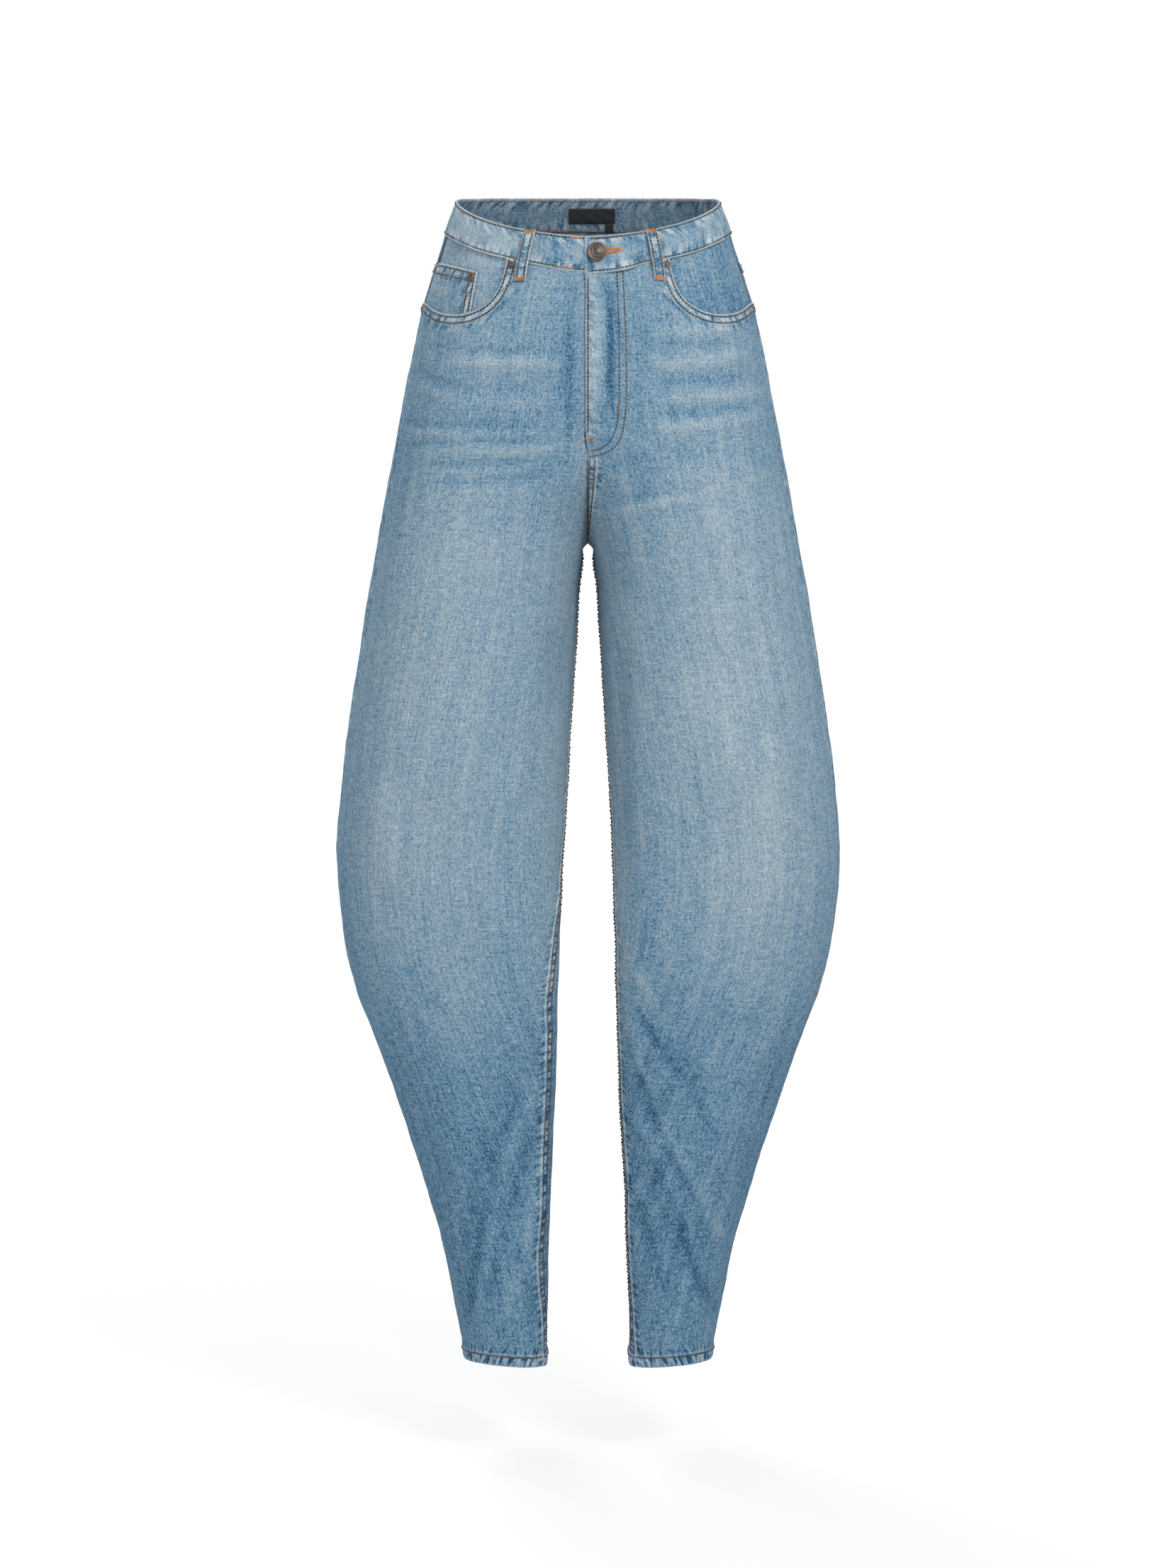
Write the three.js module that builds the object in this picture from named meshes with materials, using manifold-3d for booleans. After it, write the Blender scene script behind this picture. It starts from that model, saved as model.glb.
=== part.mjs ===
// Barrel leg jeans with no wearer, filled out as if worn. Millimetres, +Z up, the front faces -Y.
// The origin is the middle of the waist at the height of its side top edge. X is positive on the
// wearer's left. "right" and "left" in names are the wearer's.
import * as THREE from 'three';
import { mergeVertices } from 'three/addons/utils/BufferGeometryUtils.js';
import Module from 'manifold-3d';

const wasm = await Module();
wasm.setup();

// Driving sizes
const CLOTH = 1.5;
const GAP = 0.3;
const BAND_OUT = 1.0;
const BAND_THICK = 2.4;
const LAP_RAISE = 2.9;
const LAP_EDGE = 2.5;
const LAP_UNDER = 30;
const LAP_DROP = 2;
const HALF_FRONT = 190;
const FLY_RAISE = 2.4;
const FLY_UNDER = 7;
const FLY_FOOT_Z = -214;
const CROTCH_Z = -314;
const HEM_Z = -1075;
const HEM_HEIGHT = 11;
const HEM_RISE = 4.2;
const HEM_EXTRA = 1.2;
const FACING_MARGIN = 14;
const COIN_CLOTH = 1.2;
const POCKET_CLOTH = 1.5;
const LOOP_WIDTH = 10.4;
const LOOP_CLOTH = 1.6;
const LOOP_TAIL = 18;
const BUTTON_RADIUS = 8.6;
const RIVET_RADIUS = 3.6;

// Level sections of one half. outer and inner are the ends in X, front and back the ends in Y,
// seam is the Y of the outseam, wide and narrow are the Y of the outer and inner ends, and the
// last three are how square the front, back and inner quarters are. An inner end below zero is cut
// off at the middle plane.
const SECTION = table(
  ['z', 'outer', 'inner', 'front', 'back', 'seam', 'wide', 'narrow', 'nf', 'nb', 'ni'],
  [
    [12, 115.5, -115.5, -74, 76, 6, 2, 2, 2.35, 2.3, 2.3],
    [0, 119.5, -119.5, -79, 81, 6, 2, 2, 2.35, 2.3, 2.3],
    [-22, 128, -128, -87.5, 91, 5, 3, 3, 2.4, 2.3, 2.3],
    [-48, 135.8, -135.8, -95, 102, 3, 5, 5, 2.45, 2.3, 2.3],
    [-74, 144.4, -144.4, -100, 111, 1, 8, 8, 2.5, 2.3, 2.3],
    [-99, 151.6, -151.6, -103.5, 118, -2, 10, 10, 2.55, 2.3, 2.3],
    [-130, 159, -141, -106, 125, -8, 13, 11, 2.6, 2.3, 2.3],
    [-164, 166.2, -118, -107.5, 131, -14, 16, 11, 2.6, 2.3, 2.3],
    [-190, 171.5, -95, -108, 133, -18, 18, 11, 2.6, 2.3, 2.3],
    [-216, 176.8, -72, -107.5, 133.5, -20, 20, 10, 2.6, 2.3, 2.3],
    [-240, 181, -48, -107, 132, -22, 21, 9, 2.55, 2.3, 2.3],
    [-260, 184.9, -30, -106.5, 129.5, -22, 22, 9, 2.5, 2.3, 2.3],
    [-280, 188.6, -14, -106, 126.5, -22, 22, 8, 2.5, 2.3, 2.3],
    [-297, 191.7, -5.8, -105.9, 123.8, -22, 22, 8, 2.5, 2.3, 2.3],
    [-314, 194.6, 0, -105.5, 121, -22, 22, 8, 2.5, 2.3, 2.3],
    [-331, 197.7, 4.6, -105, 118.3, -22, 22, 8, 2.5, 2.3, 2.3],
    [-352, 201.5, 8.2, -104.5, 114.5, -22, 22, 8, 2.45, 2.3, 2.3],
    [-385, 206.9, 10.1, -103.5, 109, -20, 21, 5, 2.4, 2.3, 2.3],
    [-451, 217.7, 15.1, -101.5, 101.5, -12, 17, -4, 2.3, 2.3, 2.3],
    [-517, 226.6, 19, -98, 96.5, -4, 12, -15, 2.2, 2.25, 2.3],
    [-583, 232.8, 23, -93.5, 93, 4, 8, -26, 2.1, 2.2, 2.3],
    [-600, 233.6, 23.8, -92, 92.5, 5, 7, -28.5, 2.1, 2.2, 2.3],
    [-616, 233, 24.4, -91, 92, 6, 7, -30.5, 2.1, 2.2, 2.3],
    [-649, 230.5, 25, -88.5, 90.5, 7, 7, -34, 2.1, 2.2, 2.3],
    [-682, 226.4, 26.4, -86, 89, 8, 7, -36.5, 2.1, 2.2, 2.3],
    [-715, 219.3, 27, -83.5, 87.5, 8, 7, -38, 2.1, 2.2, 2.3],
    [-732, 214.4, 27.7, -82, 86.5, 8, 7, -38, 2.1, 2.2, 2.3],
    [-765, 202, 28.4, -79, 85, 8, 7, -37.5, 2.1, 2.2, 2.25],
    [-832, 177.9, 30.4, -74, 81, 7, 6, -35.5, 2.1, 2.2, 2.2],
    [-899, 155.6, 33.8, -69.5, 77, 6, 6, -33.5, 2.1, 2.2, 2.2],
    [-966, 136.6, 36.1, -66, 73, 5, 5, -31.5, 2.1, 2.15, 2.2],
    [-1033, 122.9, 37.9, -63, 70, 4, 4, -30, 2.1, 2.1, 2.2],
    [-1067, 117, 38.5, -61.5, 69, 4, 4, -29.5, 2.1, 2.1, 2.2],
    [-1085, 114.5, 38.8, -61, 68.5, 4, 4, -29, 2.1, 2.1, 2.2],
  ],
);

// How far each inseam turns to the front, in arc length.
const TURN = table(
  ['z', 'right', 'left'],
  [
    [12, 0, 0],
    [-500, 0, 0],
    [-583, 2, 0],
    [-604, 3, 0],
    [-637, 7, 0],
    [-670, 13.5, 0],
    [-702, 16.5, 0],
    [-735, 18.5, 0],
    [-768, 16, 0],
    [-801, 16, 0.5],
    [-834, 16, 3],
    [-899, 16, 5],
    [-965, 17.5, 5],
    [-998, 15.5, 7],
    [-1031, 9.5, 8.5],
    [-1064, 8, 11],
    [-1085, 8, 12],
  ],
);

// The waistband's top and bottom edges. along is 0 at the centre front, 1 at the outseam and 2 at
// the centre back.
const WAIST = table(
  ['along', 'top', 'seam'],
  [
    [-0.3, -32, -61],
    [0, -36.4, -69],
    [0.1, -35.2, -67.5],
    [0.18, -33.8, -64.8],
    [0.3, -30.6, -60],
    [0.42, -25.8, -55],
    [0.54, -20, -49.3],
    [0.64, -14.5, -43.6],
    [0.78, -7, -36.6],
    [0.9, -2, -32.8],
    [1, 0.4, -31.3],
    [1.2, 2.6, -29],
    [1.5, 4.6, -27],
    [2, 5.2, -26],
    [2.3, 5, -26.4],
  ],
);

// The curved edge of the front pocket's mouth, from the waist seam to the outseam.
const SCOOP = [
  [72.5, -52],
  [74, -62],
  [76.5, -72],
  [80, -82],
  [86.5, -92],
  [95.5, -99.3],
  [108, -104.4],
  [119, -105.8],
  [130.5, -104.6],
  [141, -100.3],
  [150, -93.2],
];

// Soft creases of the shell: the face they lie on, the two ends in X and Z, how far the middle bows
// in X, half width, and height, which is below zero for a trough.
const CREASES = table(
  ['face', 'x0', 'z0', 'x1', 'z1', 'bow', 'wide', 'high'],
  [
    [-1, -90, -852, -118, -988, 4, 8, -2.6],
    [-1, -66, -860, -104, -1030, 6, 7, -2.8],
    [-1, -72, -800, -92, -868, 0, 9, -2],
    [-1, -52, -830, -66, -884, 0, 7, -1.8],
    [-1, -40, -905, -62, -1020, 4, 8, 1.8],
    [-1, 42, -716, 104, -820, -8, 8, -2.6],
    [-1, 46, -796, 62, -850, 0, 8, -2],
    [-1, 50, -878, 88, -992, 4, 8, -2.8],
    [-1, 69, -880, 112, -960, 4, 8, -2.4],
    [-1, 100, -930, 116, -982, 0, 7, -2],
    [-1, -29, -385, -26, -470, 0, 12, -2.5],
    [-1, 30, -385, 32, -640, 0, 11, -2.5],
    [-1, -184, -520, -176, -640, 6, 16, 3],
    [-1, 164, -480, 162, -570, 0, 16, 2.5],
    [-1, -118, -150, -34, -154, 0, 9, 1],
    [-1, -138, -222, -46, -228, 0, 10, 1.2],
    [-1, 55, -209, 154, -196, 0, 10, 1.2],
    [-1, 55, -257, 158, -249, 0, 10, 1.2],
    [1, -152, -268, -30, -300, 0, 9, -2.6],
    [1, 28, -296, 146, -272, 0, 9, -2.8],
    [1, -150, -330, -60, -352, 0, 10, -2],
    [1, 50, -348, 158, -322, 0, 10, -2.2],
    [1, -206, -596, -110, -636, 0, 10, -2.4],
    [1, 96, -640, 204, -600, 0, 10, -2.6],
    [1, -196, -684, -90, -676, 0, 9, -2],
    [1, 88, -690, 190, -668, 0, 9, -2.2],
    [1, -104, -860, -76, -1000, 5, 8, -2.4],
    [1, 72, -852, 100, -984, -5, 8, -2.6],
  ],
);

const DENIM = new THREE.Color(0x7c97aa);
const denim = () => new THREE.MeshStandardMaterial({ color: DENIM, roughness: 0.92, metalness: 0 });
const pewter = () => new THREE.MeshStandardMaterial({ color: 0x7d6f5e, roughness: 0.42, metalness: 1 });
const woven = () => new THREE.MeshStandardMaterial({ color: 0x232323, roughness: 0.85, metalness: 0 });

function table(names, rows) {
  const columns = {};
  names.forEach((name, k) => {
    columns[name] = rows.map((row) => row[k]);
  });
  return { names, rows, columns };
}

// A smooth curve through a table's column that never overshoots between two rows.
function smooth(tab, key, name) {
  const xs = tab.columns[key];
  const ys = tab.columns[name];
  const last = xs.length - 1;
  const step = xs.slice(0, last).map((x, i) => xs[i + 1] - x);
  const rise = step.map((h, i) => (ys[i + 1] - ys[i]) / h);
  const slope = xs.map((x, i) => {
    if (i === 0) return rise[0];
    if (i === last) return rise[last - 1];
    if (rise[i - 1] * rise[i] <= 0) return 0;
    const a = 2 * step[i] + step[i - 1];
    const b = step[i] + 2 * step[i - 1];
    return (a + b) / (a / rise[i - 1] + b / rise[i]);
  });
  const down = xs[last] < xs[0];
  return (x) => {
    let i = 0;
    while (i < last - 1 && (down ? x < xs[i + 1] : x > xs[i + 1])) i += 1;
    const h = step[i];
    const u = Math.min(1, Math.max(0, (x - xs[i]) / h));
    const v = 1 - u;
    return ys[i] * (1 + 2 * u) * v * v + slope[i] * h * u * v * v
      + ys[i + 1] * u * u * (3 - 2 * u) - slope[i + 1] * h * u * u * v;
  };
}

const section = {};
for (const name of SECTION.names.slice(1)) section[name] = smooth(SECTION, 'z', name);
const turn = { right: smooth(TURN, 'z', 'right'), left: smooth(TURN, 'z', 'left') };
const waistTop = smooth(WAIST, 'along', 'top');
const waistSeam = smooth(WAIST, 'along', 'seam');

const QUARTER_STEPS = 56;

// Under the crotch the legs stand apart by twice this, so that the gap between them has a flat top.
const SADDLE_HALF = 5.6;
const SADDLE_DEEP = 2.2;
const SADDLE_SOFT = 1.4;
function keepApart(x, z) {
  if (z >= CROTCH_Z) return x;
  const part = 1 - Math.exp((z - CROTCH_Z) / SADDLE_DEEP);
  const half = SADDLE_HALF * part;
  const soft = SADDLE_SOFT * part;
  return (x + half + Math.hypot(x - half, soft)) / 2;
}

// One level section of the left half as a chain of points with running lengths, and the length at
// which the outseam lies.
const chains = new Map();
function chain(z) {
  const key = Math.round(z * 200);
  if (chains.has(key)) return chains.get(key);
  const s = {};
  for (const name of Object.keys(section)) s[name] = section[name](z);
  const middle = (s.outer + s.inner) / 2;
  const half = (s.outer - s.inner) / 2;
  const cut = s.inner < 0 ? Math.acos(Math.pow(Math.max(0, middle / half), s.ni / 2)) : 0;
  const points = [];
  const quarter = (from, to, n, place) => {
    for (let k = points.length ? 1 : 0; k <= QUARTER_STEPS; k += 1) {
      const a = from + ((to - from) * k) / QUARTER_STEPS;
      const c = Math.pow(Math.max(0, Math.cos(a)), 2 / n);
      const d = Math.pow(Math.max(0, Math.sin(a)), 2 / n);
      points.push(place(c, d));
    }
  };
  const right = Math.PI / 2;
  quarter(cut, right, s.ni, (c, d) => [middle - half * c, s.narrow + (s.front - s.narrow) * d]);
  quarter(right, 0, s.nf, (c, d) => [middle + half * c, s.wide + (s.front - s.wide) * d]);
  quarter(0, right, s.nb, (c, d) => [middle + half * c, s.wide + (s.back - s.wide) * d]);
  quarter(right, cut, s.ni, (c, d) => [middle - half * c, s.narrow + (s.back - s.narrow) * d]);
  for (const point of points) point[0] = keepApart(point[0], z);
  const lengths = [0];
  for (let k = 1; k < points.length; k += 1) {
    const dx = points[k][0] - points[k - 1][0];
    const dy = points[k][1] - points[k - 1][1];
    lengths.push(lengths[k - 1] + Math.hypot(dx, dy));
  }
  let k = QUARTER_STEPS;
  while (points[k + 1][1] < s.seam) k += 1;
  const part = (s.seam - points[k][1]) / (points[k + 1][1] - points[k][1]);
  const seam = lengths[k] + part * (lengths[k + 1] - lengths[k]);
  const made = { points, lengths, seam, total: lengths[lengths.length - 1], open: s.inner < 0 };
  chains.set(key, made);
  return made;
}

function alongChain(made, length) {
  const { points, lengths, total, open } = made;
  let s = length;
  if (!open) s = ((length % total) + total) % total;
  const sign = open && s < 0 ? -1 : 1;
  s = Math.abs(s);
  const over = open && s > total;
  if (over) s = 2 * total - s;
  let low = 0;
  let high = lengths.length - 1;
  while (high - low > 1) {
    const mid = (low + high) >> 1;
    if (lengths[mid] <= s) low = mid;
    else high = mid;
  }
  const u = (s - lengths[low]) / (lengths[high] - lengths[low] || 1);
  const x = points[low][0] + u * (points[high][0] - points[low][0]);
  const y = points[low][1] + u * (points[high][1] - points[low][1]);
  return [x * (over ? -1 : sign), y];
}

// Arc lengths at which the front and the back piece start and end at a level.
function spans(side, z) {
  const made = chain(z);
  const start = made.open ? 0 : turn[side](z);
  return { made, front: [start, made.seam], back: [made.seam, made.total + start] };
}

// Round the crotch the stations next to the outseam keep an even run of lengths.
const EVEN_HIGH = -238;
const EVEN_LOW = -372;
function evenLength(side, z, face) {
  const part = (EVEN_HIGH - z) / (EVEN_HIGH - EVEN_LOW);
  if (part <= 0 || part >= 1) return null;
  const high = spans(side, EVEN_HIGH)[face];
  const low = spans(side, EVEN_LOW)[face];
  return (high[1] - high[0]) * (1 - part) + (low[1] - low[0]) * part;
}

// A point of the bare shell. t is 0 at the centre front or inseam, 1 at the outseam and 2 at the
// centre back or inseam again, and shift moves the point along the section in millimetres.
function shellPoint(side, t, z, shift = 0) {
  const { made, front, back } = spans(side, z);
  const face = t <= 1 ? 'front' : 'back';
  const [from, to] = t <= 1 ? front : back;
  const inside = t <= 1 ? t : 2 - t;
  let fromSeam = (1 - inside) * (to - from);
  const even = evenLength(side, z, face);
  if (even !== null) fromSeam += ease((inside - 0.12) / 0.4) * ((1 - inside) * even - fromSeam);
  const length = t <= 1 ? to - fromSeam : from + fromSeam;
  const [x, y] = alongChain(made, length + shift);
  return new THREE.Vector3(side === 'left' ? x : -x, y, z);
}

function shellNormal(side, t, z, shift = 0) {
  const along = shellPoint(side, t, z, shift + 0.8).sub(shellPoint(side, t, z, shift - 0.8));
  const up = shellPoint(side, t, z + 0.8, shift).sub(shellPoint(side, t, z - 0.8, shift));
  const normal = along.cross(up).normalize();
  return side === 'left' ? normal : normal.negate();
}

const ease = (u) => {
  const v = Math.min(1, Math.max(0, u));
  return v * v * (3 - 2 * v);
};

// Height of the creases at a point, faded out where the cloth turns to the sides.
function creaseHeight(point, normal) {
  let height = 0;
  for (const [face, x0, z0, x1, z1, bow, wide, high] of CREASES.rows) {
    const turned = ease(face * normal.y * 1.8);
    if (turned <= 0 || Math.abs(point.z - (z0 + z1) / 2) > Math.abs(z1 - z0) / 2 + 4 * wide) continue;
    const dx = x1 - x0;
    const dz = z1 - z0;
    const long = Math.hypot(dx, dz);
    const u = ((point.x - x0) * dx + (point.z - z0) * dz) / (long * long);
    const off = ((point.x - x0) * dz - (point.z - z0) * dx) / long - bow * Math.sin(Math.PI * u);
    const ends = ease(Math.min(u, 1 - u) * 3.4 + 0.25);
    height += turned * high * ends * Math.exp(-((off / wide) ** 2));
  }
  return height;
}

// The fly edge of the left front stands proud of the right one.
function flyHeight(side, point) {
  if (side !== 'left' || point.y > 0) return 0;
  const down = ease((point.z - FLY_FOOT_Z + 20) / 22);
  return FLY_RAISE * down * (1 - ease((point.x - FLY_UNDER - 2) / 20));
}

function clothPoint(side, t, z, out, shift = 0) {
  const point = shellPoint(side, t, z, shift);
  const normal = shellNormal(side, t, z, shift);
  const height = creaseHeight(point, normal) + flyHeight(side, point);
  return point.addScaledVector(normal, height + out);
}

// Rows of a leg piece from the waist seam to the hem. The first ones follow the waist seam.
const FREE_Z = -238;
const TOP_PARTS = [0, 0.12, 0.26, 0.42, 0.58, 0.73, 0.855, 0.93, 1];
const LOW_ROWS = [
  -262, -284, -298, -307, -311.5, -313.7, -314.8, -316.4, -319.5, -327, -345, -372,
  -402, -434, -466, -498, -530, -560, -590, -618, -646, -674, -702, -730, -760, -790, -820, -850,
  -880, -910, -940, -970, -1000, -1032,
];
const HEM_ROWS = [HEM_Z + HEM_HEIGHT + 1.5, HEM_Z + HEM_HEIGHT, HEM_Z + 1.2, HEM_Z];
const FLY_ROWS = TOP_PARTS.length - 1;

// The part of the front waistband, by distance from the centre front, that is raised by the lap.
const lapPart = (side, x) => (side === 'left' ? 1 - ease((x - 34) / 14) : 0);

// The hem rises a little in the middle of the front.
const hemRise = (along) => (along < 1 ? HEM_RISE * Math.sin(Math.PI * along) ** 2 : 0);

function rowZ(row, side, along) {
  if (row <= FLY_ROWS) {
    const lap = lapPart(side, along * HALF_FRONT);
    const top = waistSeam(along) - LAP_DROP * lap - GAP;
    return top + (FREE_Z - top) * TOP_PARTS[row];
  }
  const low = row - FLY_ROWS - 1;
  if (low >= LOW_ROWS.length) return HEM_ROWS[low - LOW_ROWS.length] + hemRise(along);
  if (LOW_ROWS[low] <= EVEN_LOW) return LOW_ROWS[low];
  const inside = along <= 1 ? along : 2 - along;
  const even = FREE_Z + ((EVEN_LOW - FREE_Z) * (low + 1)) / (LOW_ROWS.indexOf(EVEN_LOW) + 1);
  return LOW_ROWS[low] + (even - LOW_ROWS[low]) * ease(inside / 0.45);
}
const ROWS = FLY_ROWS + 1 + LOW_ROWS.length + HEM_ROWS.length;

// How far the centre front edge of a piece is moved along the section.
function frontEdge(side, z) {
  const fading = LAP_EDGE * ease((z - FLY_FOOT_Z + 24) / 24);
  if (side === 'left') return z > FLY_FOOT_Z ? -LAP_EDGE : GAP / 2 - fading;
  const foot = fading + GAP / 2;
  return foot - (FLY_UNDER + foot) * ease((z - FLY_FOOT_Z - 24) / 18);
}

// Points of a piece between two stations t0 and t1, with the outer face out millimetres off the
// shell. The hem is turned up, so it is thicker there.
function pieceGrid(side, t0, t1, stations, out, thick, turnedHem) {
  const outer = [];
  const inner = [];
  for (let row = 0; row < ROWS; row += 1) {
    const rowOut = [];
    const rowIn = [];
    for (let k = 0; k < stations.length; k += 1) {
      const t = t0 + (t1 - t0) * stations[k];
      const first = t0 < 1 ? frontEdge(side, rowZ(row, side, t)) : GAP / 2;
      const shift = first * (1 - stations[k]) - (GAP / 2) * stations[k];
      const z = rowZ(row, side, t + shift / HALF_FRONT);
      const inHem = turnedHem && row >= ROWS - HEM_ROWS.length + 1;
      const lip = row === ROWS - 1 ? 0.7 : 0;
      const a = clothPoint(side, t, z, out + (inHem ? 0.4 - lip : 0), shift);
      const b = clothPoint(side, t, z, out - thick - (inHem ? HEM_EXTRA - lip : 0), shift);
      if (t === 0 || t === 2 || z > CROTCH_Z) keepSide(side, t, z, shift, a, b);
      rowOut.push(a);
      rowIn.push(b);
    }
    outer.push(rowOut);
    inner.push(rowIn);
  }
  return gridSolid(outer, inner);
}

// Keeps the points of a half on its own side of the middle plane, apart from the lapped fly.
function keepSide(side, t, z, shift, ...points) {
  if (t < 1 && z > FLY_FOOT_Z - 24) return;
  const sign = side === 'left' ? 1 : -1;
  for (const p of points) {
    if (p.x * sign < GAP / 2) p.x = (sign * GAP) / 2;
  }
}

// A closed body between two grids of points that face each other.
function gridSolid(outer, inner) {
  const rows = outer.length;
  const columns = outer[0].length;
  const position = [];
  for (const p of [outer, inner].flat(2)) position.push(p.x, p.y, p.z);
  const at = (layer, i, j) => layer * rows * columns + i * columns + j;
  const faces = [];
  const quad = (a, b, c, d) => faces.push(a, b, c, a, c, d);
  for (let i = 0; i < rows - 1; i += 1) {
    for (let j = 0; j < columns - 1; j += 1) {
      quad(at(0, i, j), at(0, i + 1, j), at(0, i + 1, j + 1), at(0, i, j + 1));
      quad(at(1, i, j), at(1, i, j + 1), at(1, i + 1, j + 1), at(1, i + 1, j));
    }
    quad(at(0, i, 0), at(1, i, 0), at(1, i + 1, 0), at(0, i + 1, 0));
    quad(at(0, i, columns - 1), at(0, i + 1, columns - 1), at(1, i + 1, columns - 1), at(1, i, columns - 1));
  }
  for (let j = 0; j < columns - 1; j += 1) {
    quad(at(0, 0, j), at(0, 0, j + 1), at(1, 0, j + 1), at(1, 0, j));
    quad(at(0, rows - 1, j), at(1, rows - 1, j), at(1, rows - 1, j + 1), at(0, rows - 1, j + 1));
  }
  return facingOut(position, faces);
}

function facingOut(position, faces) {
  const point = (k) => new THREE.Vector3(position[3 * k], position[3 * k + 1], position[3 * k + 2]);
  let volume = 0;
  for (let k = 0; k < faces.length; k += 3) {
    volume += point(faces[k]).dot(point(faces[k + 1]).cross(point(faces[k + 2])));
  }
  if (volume < 0) faces.reverse();
  const geometry = new THREE.BufferGeometry();
  geometry.setAttribute('position', new THREE.Float32BufferAttribute(position, 3));
  geometry.setIndex(faces);
  return geometry;
}

function solid(geometry) {
  const bare = geometry.clone();
  for (const name of Object.keys(bare.attributes)) if (name !== 'position') bare.deleteAttribute(name);
  const merged = mergeVertices(bare, 1e-4);
  return new wasm.Manifold(new wasm.Mesh({
    numProp: 3,
    vertProperties: new Float32Array(merged.attributes.position.array),
    triVerts: new Uint32Array(merged.index.array),
  }));
}

function geometryOf(manifold) {
  const made = manifold.getMesh();
  const geometry = new THREE.BufferGeometry();
  geometry.setAttribute('position', new THREE.BufferAttribute(new Float32Array(made.vertProperties), 3));
  geometry.setIndex(new THREE.BufferAttribute(new Uint32Array(made.triVerts), 1));
  return geometry;
}

// A straight bar with an outline in X and Z that runs along Y.
function bar(outline, yLow, yHigh) {
  const shape = new THREE.Shape(outline.map(([x, z]) => new THREE.Vector2(x, z)));
  const geometry = new THREE.ExtrudeGeometry(shape, { depth: yHigh - yLow, bevelEnabled: false, steps: 1 });
  geometry.rotateX(Math.PI / 2);
  geometry.translate(0, yHigh, 0);
  return solid(geometry);
}

const mirrored = (outline) => outline.map(([x, z]) => [-x, z]).reverse();
const forSide = (side, outline) => (side === 'left' ? outline : mirrored(outline));

const group = new THREE.Group();
function add(name, geometry, material) {
  const plain = geometry.index ? geometry.toNonIndexed() : geometry.clone();
  plain.computeVertexNormals();
  const mesh = new THREE.Mesh(plain, material);
  mesh.name = name;
  group.add(mesh);
}

// The largest connected part of a cut, which leaves out loose slivers at its ends.
function mainPart(manifold) {
  const parts = manifold.decompose();
  return parts.reduce((best, part) => (part.volume() > best.volume() ? part : best), parts[0]);
}

// Outlines in X and Z on the wearer's left
const scoopCurve = new THREE.SplineCurve(SCOOP.map(([x, z]) => new THREE.Vector2(x, z)));
const scoopPoints = scoopCurve.getPoints(18).map((p) => [p.x, p.y]);
const scoopOutline = [...scoopPoints, [182, -84], [182, 30], [72.5, 30]];
const facingCurve = [0, 0.15, 0.3, 0.42, 0.54, 0.66, 0.78, 0.9, 1].map((u) => {
  const p = scoopCurve.getPoint(u);
  const d = scoopCurve.getTangent(u);
  return [p.x + d.y * FACING_MARGIN, p.y - d.x * FACING_MARGIN];
});
const facingOutline = [[facingCurve[0][0], 30], ...facingCurve, [182, -112], [182, 30]];
const coinOutline = [[100, -67.2], [109.5, -117], [182, -119], [182, -45.5]];
const yokeOutline = [[-10, 30], [-10, -88.6], [0, -87], [150, -66], [182, -62], [182, 30]];
const lowered = yokeOutline.map(([x, z]) => [x, z > 0 ? z : z - GAP]);
const pocketOutline = [[15, -121], [127, -113], [122, -232], [68, -254], [21, -240]];

const FRONT_STATIONS = [0, 0.035, 0.1, 0.18, 0.27, 0.36, 0.45, 0.54, 0.63, 0.72, 0.81, 0.9, 1];
const BACK_STATIONS = [0, 0.09, 0.18, 0.27, 0.36, 0.45, 0.55, 0.66, 0.78, 0.9, 1];

for (const side of ['right', 'left']) {
  const scoop = bar(forSide(side, scoopOutline), -220, 90);
  const front = solid(pieceGrid(side, 0, 1, FRONT_STATIONS, 0, CLOTH, true));
  add(`front_panel_${side}`, geometryOf(mainPart(front.subtract(scoop))), denim());

  const coin = side === 'right';
  const facingOut = coin ? -CLOTH - COIN_CLOTH - 2 * GAP : -CLOTH - GAP;
  const facingBar = bar(forSide(side, facingOutline), -220, 90);
  const facingLayer = solid(pieceGrid(side, 0, 1, FRONT_STATIONS, facingOut, CLOTH, false));
  add(`pocket_facing_${side}`, geometryOf(mainPart(facingLayer.intersect(facingBar))), denim());
  if (coin) {
    const coinBar = bar(forSide(side, coinOutline), -220, 90);
    const coinLayer = solid(pieceGrid(side, 0, 1, FRONT_STATIONS, -CLOTH - GAP, COIN_CLOTH, false));
    add('coin_pocket', geometryOf(mainPart(coinLayer.intersect(coinBar))), denim());
  }

  const back = solid(pieceGrid(side, 1, 2, BACK_STATIONS, 0, CLOTH, true));
  const yokeBar = bar(forSide(side, yokeOutline), -60, 220);
  const loweredBar = bar(forSide(side, lowered), -60, 220);
  add(`back_panel_${side}`, geometryOf(mainPart(back.subtract(loweredBar))), denim());
  add(`yoke_${side}`, geometryOf(mainPart(back.intersect(yokeBar))), denim());
  const pocketBar = bar(forSide(side, pocketOutline), 20, 220);
  const pocketLayer = solid(pieceGrid(side, 1, 2, BACK_STATIONS, GAP + POCKET_CLOTH, POCKET_CLOTH, false));
  add(`back_pocket_${side}`, geometryOf(mainPart(pocketLayer.intersect(pocketBar))), denim());
}

// The waistband is one folded strip. It starts under the lap, runs round the right side and the
// back, and ends on top at the centre front.
const BAND_ROWS = [0, 1.2, 12, 24, 98.8, 100];
const HALF_STATIONS = [0.15, 0.22, 0.3, 0.38, 0.46, 0.54, 0.62, 0.7, 0.78, 0.86, 0.93, 1,
  1.08, 1.16, 1.25, 1.34, 1.44, 1.55, 1.66, 1.78, 1.9];

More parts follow.
